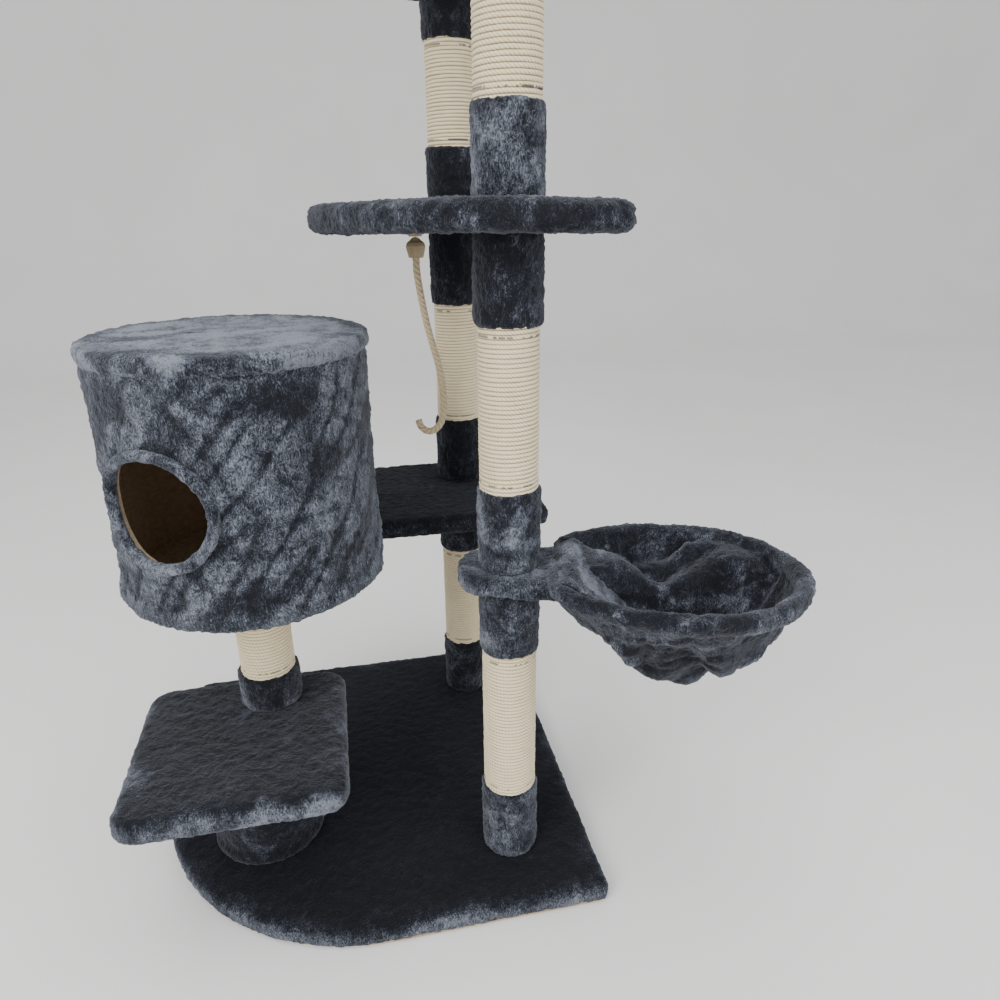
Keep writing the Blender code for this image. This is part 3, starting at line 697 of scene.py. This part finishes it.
# The pair of numbers for each post is the lightness of its lower and upper sleeve: painted light and
# shade for each sleeve.
for number, (lower, upper) in enumerate(((0.48, 0.38), (0.37, -0.04), (0.47, 0.45)), 1):
    sleeve("front_post_%d_lower_sleeve" % number, lower, 10.0 + number)
    sleeve("front_post_%d_upper_sleeve" % number, upper, 20.0 + number)
# The back post's sleeves are painted dark: painted shade.
for number, (lower, upper) in enumerate(((0.22, 0.05), (0.06, 0.00), (-0.04, 0.04)), 1):
    sleeve("back_post_%d_lower_sleeve" % number, lower, 30.0 + number)
    sleeve("back_post_%d_upper_sleeve" % number, upper, 40.0 + number)
sleeve("short_post_sleeve", 0.36, 50.0)

# %% [markdown]
# ## Sisal windings
#
# The rope is wound round the tube turn by turn. Half of the rope's round section is spun about
# the post with a small rise at each step, which makes one long screw. A little noise on the
# radius and the height of every turn keeps it from looking machined.

# %% Sisal
def winding(node, seed, pitch_goal=0.0062):
    """Wind rope over a sisal node."""
    low, high = (Vector(v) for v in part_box(node))
    centre = (low + high) * 0.5
    low.z -= 0.009
    high.z += 0.009
    turns = round((high.z - low.z) / pitch_goal)
    pitch = (high.z - low.z) / (turns + 0.15)
    half = pitch * 0.508
    rope_r = (high.x - low.x) * 0.5 - half
    steps = 40
    bm = bmesh.new()
    along = bm.verts.layers.float.new("along")
    around = bm.verts.layers.float.new("around")
    fluff = bm.verts.layers.float.new("fluff")
    section = [bm.verts.new((rope_r + half * math.cos(a), 0.0, low.z + half + half * math.sin(a)))
               for a in (math.radians(d) for d in (-96, -60, -30, 0, 30, 60, 96))]
    edges = [bm.edges.new(pair) for pair in zip(section[:-1], section[1:])]
    bmesh.ops.spin(bm, geom=section + edges, cent=(0.0, 0.0, 0.0), axis=(0.0, 0.0, 1.0),
                   dvec=(0.0, 0.0, pitch / steps), angle=2.0 * math.pi * turns,
                   steps=steps * turns, use_merge=False)
    ring_length = 2.0 * math.pi * rope_r
    bm.verts.ensure_lookup_table()
    for vert in bm.verts:
        angle = math.atan2(vert.co.y, vert.co.x) % (2.0 * math.pi)
        radius = math.hypot(vert.co.x, vert.co.y)
        share = (vert.co.z - low.z - half) / pitch
        turn = round(share - angle / (2.0 * math.pi))
        heart = low.z + half + (turn + angle / (2.0 * math.pi)) * pitch
        vert[along] = (turn + angle / (2.0 * math.pi)) * ring_length
        vert[around] = math.atan2(vert.co.z - heart, radius - rope_r)
        gap = min(vert.co.z - low.z, high.z - vert.co.z)
        vert[fluff] = max(0.0, 1.0 - abs(gap - 3.0 * pitch) / (0.40 * pitch))
        wander = noise.noise(Vector((vert[along] * 9.0, seed, 0.0)))
        ripple = noise.noise(Vector((vert[along] * 55.0, seed, 4.0)))
        strand = abs(math.sin(1.5 * (vert[along] * 2.0 * math.pi / 0.016 + vert[around])))
        grow = 1.0 + (0.0005 * wander + 0.0004 * ripple + 0.0005 * strand - 0.0003) / radius
        vert.co.x *= grow
        vert.co.y *= grow
        vert.co.z += 0.0007 * wander + 0.0003 * ripple
    bmesh.ops.translate(bm, vec=(centre.x, centre.y, 0.0), verts=bm.verts)
    bmesh.ops.recalc_face_normals(bm, faces=bm.faces[:])
    made = store(bm, node + "_winding", SISAL, "tree", (node,))
    print(made.name, turns, "turns of", round(pitch * 1000, 2), "mm")
    return made


for number in (1, 2, 3):
    winding("front_post_%d_sisal" % number, number * 1.3, 0.0066)
    winding("back_post_%d_sisal" % number, number * 2.1 + 7.0)
winding("short_post_sisal", 17.0)

# %% [markdown]
# ## Drum and barrel condo
#
# The drum under the low step is a tube in plush with a thicker hem at its foot. The condo is a
# cardboard barrel in a loose plush skin. The skin sags a little, so long slanting creases run
# over it, and the cloth is painted darker along them, as painted shade in the creases. The
# doorway is cut before the remesh and gets a padded ring that is bent to the barrel.

# %% Drum
low, high = (Vector(v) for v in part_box("drum_cover"))
drum_r = 0.093
bottom = low.z + 0.0005
drum = spun(((drum_r - 0.006, bottom), (drum_r + 0.002, bottom), (drum_r + 0.005, bottom + 0.006),
             (drum_r + 0.005, bottom + 0.017), (drum_r, bottom + 0.022), (drum_r, high.z),
             (drum_r - 0.003, high.z + 0.004), (drum_r - 0.008, high.z + 0.004)), middle("drum_cover"))
plush(drum, "drum_plush", "tree", ("drum_cover",), light=0.10, top_dark=0.0, seed=60.0)

# %% Barrel skin with creases
CONDO = middle("condo_wall")
WALL_R = size("condo_wall").x * 0.5
DOOR_TURN = math.radians(-120.0)
DOOR_R = 0.082
DOOR_Z = 0.755


def barrel_folds(place, normal):
    """Slanting creases in the loose skin, painted darker along the creases as painted shade. Inside it
    the cloth lies on the cardboard.
    """
    flat = Vector((place.x - CONDO.x, place.y - CONDO.y, 0.0))
    radius = flat.length
    if radius < WALL_R + 0.0035:
        return flat.normalized() * (WALL_R + 0.0008 - radius), 0.0
    u = math.atan2(flat.y, flat.x) * WALL_R
    slant = Vector((u * 0.62 + place.z * 0.78, u * 0.78 - place.z * 0.62, 0.0))
    bend = 0.020 * noise.noise(Vector((u * 9.0, place.z * 9.0, 3.0)))
    first = noise.noise(Vector((slant.x * 5.0, (slant.y + bend) * 24.0, 1.0)))
    second = noise.noise(Vector((u * 14.0 + place.z * 9.0, place.z * 26.0, 7.0)))
    crease = max(0.0, 1.0 - abs(first) * 5.0)
    dip = max(0.0, 1.0 - abs(second) * 6.0)
    slack = min(1.0, (place.z - 0.575) / 0.04) * min(1.0, (0.94 - place.z) / 0.04)
    slack = max(0.0, slack)
    above = max(0.0, min(1.0, (place.z - 0.60) / 0.08))
    push = 0.0024 * (first + second) - 0.0034 * (crease + 0.6 * dip) * slack - 0.0050 * above
    away = flat.normalized() * max(push, WALL_R + 0.0035 - radius)
    # Painted shade along the creases and dips, and painted light where the skin bulges out.
    return away, -0.42 * crease * slack - 0.26 * dip * slack + 0.10 * first


door_out = Vector((math.cos(DOOR_TURN), math.sin(DOOR_TURN), 0.0))
door_place = Vector((CONDO.x, CONDO.y, DOOR_Z)) + door_out * WALL_R
bm = bmesh.new()
bmesh.ops.create_cone(bm, cap_ends=True, segments=64, radius1=DOOR_R, radius2=DOOR_R, depth=0.12,
                      matrix=Matrix.Translation(door_place) @ door_out.to_track_quat("Z", "Y")
                      .to_matrix().to_4x4())
hole = helper_object(bm, "doorway form")
low, high = (Vector(v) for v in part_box("condo_skin"))
wall_out = WALL_R + 0.0095
skin = spun(((WALL_R + 0.0006, low.z), (wall_out - 0.004, low.z - 0.001),
             (wall_out + 0.001, low.z + 0.006), (wall_out + 0.001, high.z - 0.004),
             (wall_out - 0.003, high.z + 0.004), (WALL_R + 0.0006, high.z + 0.004)), CONDO, 72)
skin = plush(skin, "condo_plush", "tree", ("condo_skin",), voxel=0.0045, light=0.58,
             look=BRUSHED_PLUSH, top_dark=0.0, seed=61.0, length=0.0034, cutter=hole,
             folds=barrel_folds)
bpy.data.objects.remove(hole)


def lid_shade(place, normal):
    """The middle of the lid is painted light, with a band of painted shade just inside its rim."""
    inset = WALL_R + 0.009 - math.hypot(place.x - CONDO.x, place.y - CONDO.y)
    band = max(0.0, 1.0 - abs(inset - 0.022) / 0.022)
    wander = noise.noise(place * 9.0)
    return Vector(), 0.16 + 0.3 * wander - (0.42 + 0.3 * wander) * band * max(0.0, normal.z)


lid = plush(round_slab("condo_roof", 0.009), "condo_lid", "tree", ("condo_roof",),
            voxel=0.0045, light=0.68, top_dark=0.0, seed=62.0, length=0.0034, folds=lid_shade)

# %% Padded ring round the doorway
def bent_to_barrel(vert):
    """Bend a ring that lies flat about the origin round the barrel, at the doorway."""
    turn = DOOR_TURN + vert.co.x / WALL_R
    reach = WALL_R + 0.0085 + vert.co.z
    return Vector((CONDO.x + math.cos(turn) * reach, CONDO.y + math.sin(turn) * reach,
                   DOOR_Z + vert.co.y))


section = tuple((DOOR_R - 0.0015 + 0.0085 * math.cos(math.radians(30 * k)),
                 0.0085 * math.sin(math.radians(30 * k))) for k in range(12))
trim = spun(section, Vector((0.0, 0.0, 0.0)), 64)
for vert in trim.verts:
    vert.co = bent_to_barrel(vert)
bmesh.ops.recalc_face_normals(trim, faces=trim.faces[:])
plush(trim, "doorway_ring", "tree", ("condo_door_trim",), voxel=0.0032, light=0.45,
      top_dark=0.0, seed=63.0, length=0.0026)

# %% [markdown]
# ## The hammock
#
# A plush-covered plate clamped in the front post holds a wire hoop. The bag's rim is folded over
# the hoop, and the bag is cut larger than the hoop is wide, so it gathers. A cloth simulation
# drapes it: the rim is pinned, the cloth has a tenth more length than it needs, and gravity makes
# the folds. The draped sheet is given its thickness, joined to the thick soft rim and remeshed.

# %% Shape of the hoop
HEADING = math.radians(-18.9)
BAG_NEAR = 0.076
BAG_MIDDLE = 0.270
BAG_NEAR_HALF = 0.225
BAG_FAR_HALF = 0.177
BAG_WIDE_HALF = 0.154
HOOP_Z = 0.6023
post = middle("front_post_1_tube")
hammock_out = Vector((math.cos(HEADING), math.sin(HEADING), 0.0))
hammock_side = Vector((-hammock_out.y, hammock_out.x, 0.0))


def on_hammock(along, aside, z):
    """A place measured from the front post, along and across the hammock."""
    return Vector((post.x, post.y, z)) + hammock_out * along + hammock_side * aside


def bag_place(turn, scale, z):
    """A place on the bag's outline at an angle, scaled about the bag's middle."""
    half = BAG_FAR_HALF if math.cos(turn) > 0.0 else BAG_NEAR_HALF
    along = max(half * math.cos(turn), BAG_NEAR - BAG_MIDDLE)
    return on_hammock(BAG_MIDDLE + along * scale, BAG_WIDE_HALF * math.sin(turn) * scale, z)


def nearness(turn):
    """How close a part of the rim is to the post, from 0 to 1."""
    return max(0.0, min(1.0, (-math.cos(turn) - 0.45) / 0.5))


# %% Drape the bag
BAG_LOW = 0.462


def bag_form(columns, rows):
    """A grid wrapped into a bowl that hangs from the hoop."""
    bm = bmesh.new()
    bmesh.ops.create_grid(bm, x_segments=columns, y_segments=rows, size=1.0)
    held = bm.verts.layers.float.new("held")
    for vert in bm.verts:
        turn = (vert.co.x + 1.0) * math.pi
        down = (1.0 - vert.co.y) * 0.5
        near = nearness(turn)
        scale = max(0.004, math.cos(down * 0.5 * math.pi)) ** (0.85 + 0.8 * near)
        drop = math.sin(down * 0.5 * math.pi) ** (1.3 + 1.2 * near)
        vert[held] = max(0.0, 1.0 - down * 14.0)
        ruck = 0.030 * math.sin(down * math.pi) * noise.noise(Vector((turn * 2.4, down * 3.0, 2.0)))
        top = HOOP_Z - 0.002
        vert.co = bag_place(turn, scale + ruck, top - (top - BAG_LOW) * drop)
    bmesh.ops.remove_doubles(bm, verts=bm.verts, dist=0.0006)
    bmesh.ops.recalc_face_normals(bm, faces=bm.faces[:])
    return bm


def draped(bm, name, frames, surplus, cap):
    """Let a sheet hang from its held points. Returns the draped bmesh."""
    held = bm.verts.layers.float["held"]
    weights = [vert[held] for vert in bm.verts]
    cloth_holder = helper_object(bm, name)
    start = [vert.co.copy() for vert in cloth_holder.data.vertices]
    group = cloth_holder.vertex_groups.new(name="held")
    for index, weight in enumerate(weights):
        if weight > 0.0:
            group.add([index], min(1.0, weight * 1.6), "REPLACE")
    cloth = cloth_holder.modifiers.new("cloth", "CLOTH")
    cloth.settings.vertex_group_mass = "held"
    cloth.settings.quality = 6
    cloth.settings.mass = 0.35
    cloth.settings.tension_stiffness = 22.0
    cloth.settings.compression_stiffness = 22.0
    cloth.settings.shear_stiffness = 8.0
    cloth.settings.bending_stiffness = 0.35
    cloth.settings.tension_damping = 12.0
    cloth.settings.compression_damping = 12.0
    cloth.settings.air_damping = 3.0
    cloth.settings.shrink_min = -surplus
    cloth.settings.shrink_max = -surplus
    cloth.collision_settings.use_collision = False
    cloth.point_cache.frame_start = 1
    cloth.point_cache.frame_end = frames
    for frame_number in range(1, frames + 1):
        bpy.context.scene.frame_set(frame_number)
        cloth_holder.evaluated_get(bpy.context.evaluated_depsgraph_get())
    done = evaluated(cloth_holder)
    bpy.context.scene.frame_set(1)
    for vert, before in zip(done.verts, start):
        move = vert.co - before
        if move.length > cap:
            vert.co = before + move * (cap / move.length)
    return done


bag = bag_form(110, 30)
flat_area = sum(face.calc_area() for face in bag.faces)
bag = draped(bag, "hammock drape", 24, 0.09, 0.036)
print("bag area", round(flat_area, 3), "draped", round(sum(f.calc_area() for f in bag.faces), 3))

# %% Deep folds in the bag
def ridge(along, aside, start, end, height, gentle, steep):
    """A fold from start to end (along, aside): gentle behind its crest, steep in front of it."""
    way = Vector(end) - Vector(start)
    place = Vector((along, aside)) - Vector(start)
    share = place.dot(way) / way.length_squared
    off = (place - way * share).dot(Vector((-way.y, way.x)).normalized())
    ends = max(0.0, min(1.0, share * 4.0)) * max(0.0, min(1.0, (1.15 - share) * 4.0))
    width = gentle if off > 0.0 else steep
    return height * ends * math.exp(-(off / width) ** 2)


FOLDS = (((0.05, -0.004), (0.40, 0.080), 0.118, 0.062, 0.017),
         ((0.15, 0.085), (0.38, 0.125), 0.026, 0.018, 0.010),
         ((0.37, 0.010), (0.25, -0.115), 0.042, 0.030, 0.013),
         ((0.44, -0.020), (0.33, -0.135), 0.034, 0.024, 0.011),
         ((0.12, -0.020), (0.24, -0.125), 0.026, 0.022, 0.011))
for vert in bag.verts:
    local = vert.co - on_hammock(0.0, 0.0, 0.0)
    along = local.dot(hammock_out)
    aside = local.dot(hammock_side)
    wander = 0.012 * noise.noise(vert.co * 11.0)
    depth = min(1.0, max(0.0, (HOOP_Z - 0.004 - vert.co.z) / 0.05))
    raised = vert.co.z + depth * sum(ridge(along, aside + wander, *fold) for fold in FOLDS)
    vert.co.z = max(vert.co.z, min(raised, HOOP_Z - 0.006))
bmesh.ops.recalc_face_normals(bag, faces=bag.faces[:])


# %% Thick rim and pile
def hammock_folds(place, normal):
    """Soft crumples over the bag, with painted shade in the hollows and lower down, and painted light
    on the bulges.
    """
    across = noise.noise(Vector((place.x * 15.0, place.y * 15.0, place.z * 38.0)))
    lumps = noise.noise(place * 24.0 + Vector((4.0, 1.0, 0.0)))
    creases = max(0.0, 1.0 - abs(across) * 5.0)
    deep = min(1.0, max(0.0, (HOOP_Z - 0.012 - place.z) / 0.05))
    under = max(0.0, -normal.z + 0.2) * deep
    lift = 0.0050 * across * deep + 0.0036 * lumps + 0.0060 * across * under - 0.004 * creases * under
    # Painted light and shade: darker deeper in the bag and in the creases underneath, lighter where
    # the cloth bulges.
    shade = -0.10 * deep + 0.30 * lumps + 0.16 * across - 0.25 * creases * under
    return normal * lift, shade


thick = helper_object(bag, "hammock cloth")
shell = thick.modifiers.new("cloth thickness", "SOLIDIFY")
shell.thickness = 0.010
shell.offset = 0.0
thick = evaluated(thick)
turns = [2.0 * math.pi * k / 96 for k in range(96)]
rim_line = [bag_place(a, 1.0, HOOP_Z - 0.003 * (1.0 - nearness(a))) for a in turns]
shares = [(1.0 - 0.22 * nearness(a)) * (1.0 + 0.12 * noise.noise(
    Vector((math.cos(a) * 4.0, math.sin(a) * 4.0, 5.0)))) for a in turns]
rim = tube(rim_line, 0.0145, closed=True, shares=shares)
for vert in rim.verts:
    rise = vert.co.z - (HOOP_Z - 0.004)
    vert.co.z = HOOP_Z - 0.004 + rise * 1.15
hammock = plush(together(thick, rim), "hammock_plush", "hammock", ("hammock_bag",), voxel=0.0046,
                light=0.28, top_dark=0.08, seed=64.0, length=0.0038, folds=hammock_folds)

# %% Covered plate round the post
disc = bmesh.new()
bmesh.ops.create_cone(disc, cap_ends=True, segments=48, radius1=0.059, radius2=0.059, depth=0.033)
bmesh.ops.translate(disc, vec=on_hammock(-0.022, 0.0, 0.5875), verts=disc.verts)
NECK = ((-0.022, 0.058, 0.571, 0.604), (0.062, 0.064, 0.572, 0.606), (0.100, 0.084, 0.582, 0.617),
        (0.138, 0.086, 0.562, 0.588), (0.175, 0.066, 0.528, 0.548), (0.205, 0.030, 0.500, 0.512))
necks = []
for near, far in zip(NECK[:-1], NECK[1:]):
    neck = bmesh.new()
    bmesh.ops.create_cube(neck, size=1.0)
    for vert in neck.verts:
        along, half, under, over = far if vert.co.x > 0.0 else near
        vert.co = on_hammock(along, half * (1.0 if vert.co.y > 0.0 else -1.0),
                             over if vert.co.z > 0.0 else under)
    necks.append(neck)
plate = plush(together(disc, *necks), "hammock_plate_plush", "hammock",
              ("hammock_plate_cover",), light=0.44, top_dark=0.0, seed=65.0, length=0.0042)

# %% [markdown]
# ## The bed on top
#
# The bowl bed has a stuffed ring wall and a loose cushion. The cushion starts as a flattened
# sphere and is inflated as cloth.

# %% Bed skin, bolster and cushion
plush(round_slab("bed_skin", 0.008), "bed_skin_plush", "tree", ("bed_skin",),
      light=0.42, top_dark=0.15, seed=70.0)


def bolster_folds(place, normal):
    """Puckers where the stuffed wall is gathered, painted lighter where they rise and darker in the
    dents, as painted light and shade.
    """
    turn = math.atan2(place.y - post.y, place.x - post.x)
    pucker = noise.noise(Vector((math.cos(turn) * 7.0, math.sin(turn) * 7.0, place.z * 5.0)))
    # The second value paints light on the raised puckers and shade in the dents.
    return normal * (0.006 * pucker), 0.22 * pucker


low, high = (Vector(v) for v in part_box("bed_bolster"))
ring_r = (high.x - low.x) * 0.5 - 0.0235
rise = (high.z - low.z) * 0.5
section = tuple((ring_r + 0.0215 * math.cos(math.radians(24 * k)),
                 (low.z + high.z) * 0.5 + (rise - 0.002) * math.sin(math.radians(24 * k)))
                for k in range(15))
wall = plush(spun(section, post, 64), "bed_bolster_plush", "tree", ("bed_bolster",),
             voxel=0.0048, light=0.44, top_dark=0.12, seed=71.0, length=0.0036,
             folds=bolster_folds)


def inflated(bm, name, frames, pressure, cap):
    """Inflate a closed form a little, as stuffed cloth."""
    pad = helper_object(bm, name)
    start = [vert.co.copy() for vert in pad.data.vertices]
    cloth = pad.modifiers.new("cloth", "CLOTH")
    cloth.settings.use_pressure = True
    cloth.settings.uniform_pressure_force = pressure
    cloth.settings.effector_weights.gravity = 0.0
    cloth.settings.quality = 5
    cloth.collision_settings.use_collision = False
    cloth.point_cache.frame_start = 1
    cloth.point_cache.frame_end = frames
    for frame_number in range(1, frames + 1):
        bpy.context.scene.frame_set(frame_number)
        pad.evaluated_get(bpy.context.evaluated_depsgraph_get())
    done = evaluated(pad)
    bpy.context.scene.frame_set(1)
    for vert, before in zip(done.verts, start):
        move = vert.co - before
        if move.length > cap:
            vert.co = before + move * (cap / move.length)
    return done


low, high = (Vector(v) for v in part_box("bed_cushion"))
pad = bmesh.new()
bmesh.ops.create_uvsphere(pad, u_segments=48, v_segments=24, radius=1.0)
half = (high.x - low.x) * 0.5 - 0.010
for vert in pad.verts:
    flat = math.hypot(vert.co.x, vert.co.y)
    crown = 0.020 * abs(vert.co.z) ** 0.6 * (1.0 if vert.co.z > 0.0 else -0.55)
    wide = half * (flat ** 0.7) / max(flat, 1e-6)
    vert.co = Vector((vert.co.x * wide, vert.co.y * wide, crown)) + Vector(
        (post.x, post.y, low.z + 0.0155))
pad = remeshed(pad, "bed cushion", 0.006, 1)
pad = inflated(pad, "bed cushion swell", 14, 2.0, 0.006)
floor_z = low.z + 0.0012
raise_pile(pad, 0.52, length=0.0030, top_dark=0.15, seed=72.0, low=floor_z)
cushion = store(pad, "bed_cushion_plush", PLUSH, "bed_cushion", ("bed_cushion",))

# %% [markdown]
# ## Boards, cardboard, steel and the toy's tan fittings
#
# The CAD nodes that stay in view get procedural materials: chipboard with flakes, brown
# cardboard with a faint stretched grain, zinc-plated steel and matt tan plastic.

# %% Materials for the CAD nodes
def speckled_material(name, stops, scale, rough, metal=0.0, stretch=(1.0, 1.0, 1.0), depth=0.0003):
    """A surface whose colour and height follow one noise."""
    made, tree, shader = new_material(name)
    coordinates = put(tree, "ShaderNodeTexCoord")
    stretched = put(tree, "ShaderNodeVectorMath", operation="MULTIPLY")
    stretched.inputs[1].default_value = stretch
    join(tree, coordinates.outputs["Object"], stretched.inputs[0])
    grain = put(tree, "ShaderNodeTexNoise", Scale=scale, Detail=5.0, Roughness=0.65)
    join(tree, stretched.outputs["Vector"], grain.inputs["Vector"])
    join(tree, ramp(tree, grain.outputs["Fac"], stops), shader.inputs["Base Color"])
    shade = maths(tree, "MULTIPLY_ADD", grain.outputs["Fac"], 0.16, rough - 0.08)
    join(tree, shade, shader.inputs["Roughness"])
    bump = put(tree, "ShaderNodeBump", Strength=0.5, Distance=depth)
    join(tree, grain.outputs["Fac"], bump.inputs["Height"])
    join(tree, bump.outputs["Normal"], shader.inputs["Normal"])
    shader.inputs["Metallic"].default_value = metal
    return made


CHIPBOARD = speckled_material("chipboard", ((0.30, (0.30, 0.20, 0.11)), (0.52, (0.52, 0.39, 0.25)),
                                            (0.75, (0.66, 0.54, 0.38))), 190.0, 0.8)
CARDBOARD = speckled_material("cardboard", ((0.30, (0.33, 0.23, 0.14)), (0.70, (0.50, 0.38, 0.25))),
                              90.0, 0.85, stretch=(1.0, 1.0, 3.0))
STEEL = speckled_material("zinc steel", ((0.30, (0.48, 0.49, 0.51)), (0.70, (0.66, 0.67, 0.69))),
                          160.0, 0.38, metal=1.0)
TAN = speckled_material("tan plastic", ((0.30, (0.33, 0.25, 0.14)), (0.70, (0.43, 0.335, 0.20))),
                        70.0, 0.55)
for node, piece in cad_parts.items():
    if "_tube" in node or node in ("drum_core", "condo_wall"):
        look = CARDBOARD
    elif "rod" in node or "bolt" in node or "hoop" in node:
        look = STEEL
    elif node.startswith("toy_"):
        look = TAN
    elif "board" in node or node in ("condo_floor", "hammock_plate"):
        look = CHIPBOARD
    else:
        continue
    for slot_number in range(len(piece.material_slots)):
        piece.material_slots[slot_number].material = look
print("looks set")

# %% [markdown]
# ## Stage and light
#
# A pale floor runs into a pale wall. Large soft lamps stand to the left and in front, as in a
# bright plain room, and an even sky fills the shadows.

# %% Floor, wall and lamps
def stage_material(name, colour):
    """Matt paint with the faintest unevenness."""
    made, tree, shader = new_material(name)
    coordinates = put(tree, "ShaderNodeTexCoord")
    cloud = put(tree, "ShaderNodeTexNoise", Scale=1.3, Detail=2.0)
    join(tree, coordinates.outputs["Object"], cloud.inputs["Vector"])
    darker = tuple(c * 0.96 for c in colour)
    join(tree, ramp(tree, cloud.outputs["Fac"], ((0.3, darker), (0.7, colour))),
         shader.inputs["Base Color"])
    shader.inputs["Roughness"].default_value = 0.9
    return made


bm = bmesh.new()
bmesh.ops.create_grid(bm, x_segments=1, y_segments=1, size=10.0)
far = [e for e in bm.edges if all(v.co.y > 9.9 for v in e.verts)]
bmesh.ops.translate(bm, vec=(0.0, -3.4, -0.0005), verts=bm.verts)
raised = bmesh.ops.extrude_edge_only(bm, edges=far)
top = [v for v in raised["geom"] if isinstance(v, bmesh.types.BMVert)]
bmesh.ops.translate(bm, vec=(0.0, 0.0, 8.0), verts=top)
bend = [e for e in bm.edges if all(v.co.z < 0.01 and v.co.y > 1.0 for v in e.verts)]
bmesh.ops.bevel(bm, geom=bend, offset=2.0, offset_type="OFFSET", affect="EDGES",
                segments=16, profile=0.5, material=-1)
mesh = bpy.data.meshes.new("backdrop")
bm.to_mesh(mesh)
bm.free()
backdrop = bpy.data.objects.new("backdrop", mesh)
bpy.context.scene.collection.objects.link(backdrop)
backdrop.data.materials.append(stage_material("pale paint", (0.86, 0.85, 0.835)))
for face in mesh.polygons:
    face.use_smooth = True


def lamp(name, place, target, width, power, colour=(1.0, 1.0, 1.0)):
    """A large square area lamp aimed at a point."""
    light = bpy.data.lights.new(name, "AREA")
    light.shape = "SQUARE"
    light.size = width
    light.energy = power
    light.color = colour
    holder = bpy.data.objects.new(name, light)
    holder.location = place
    aim = Vector(target) - Vector(place)
    holder.rotation_euler = aim.to_track_quat("-Z", "Y").to_euler()
    bpy.context.scene.collection.objects.link(holder)
    return holder


lamp("window", (-2.2, -2.4, 2.6), (0.1, 0.0, 0.7), 1.8, 95.0, (1.0, 0.99, 0.97))
lamp("fill", (2.0, -2.6, 1.8), (0.2, 0.0, 0.6), 2.0, 30.0, (0.95, 0.97, 1.0))
lamp("ceiling", (0.2, -0.6, 3.2), (0.1, -0.1, 0.0), 2.4, 55.0)
world = bpy.data.worlds.new("room")
world.use_nodes = True
world.node_tree.nodes["Background"].inputs["Color"].default_value = (0.97, 0.98, 1.0, 1.0)
world.node_tree.nodes["Background"].inputs["Strength"].default_value = 0.86
bpy.context.scene.world = world
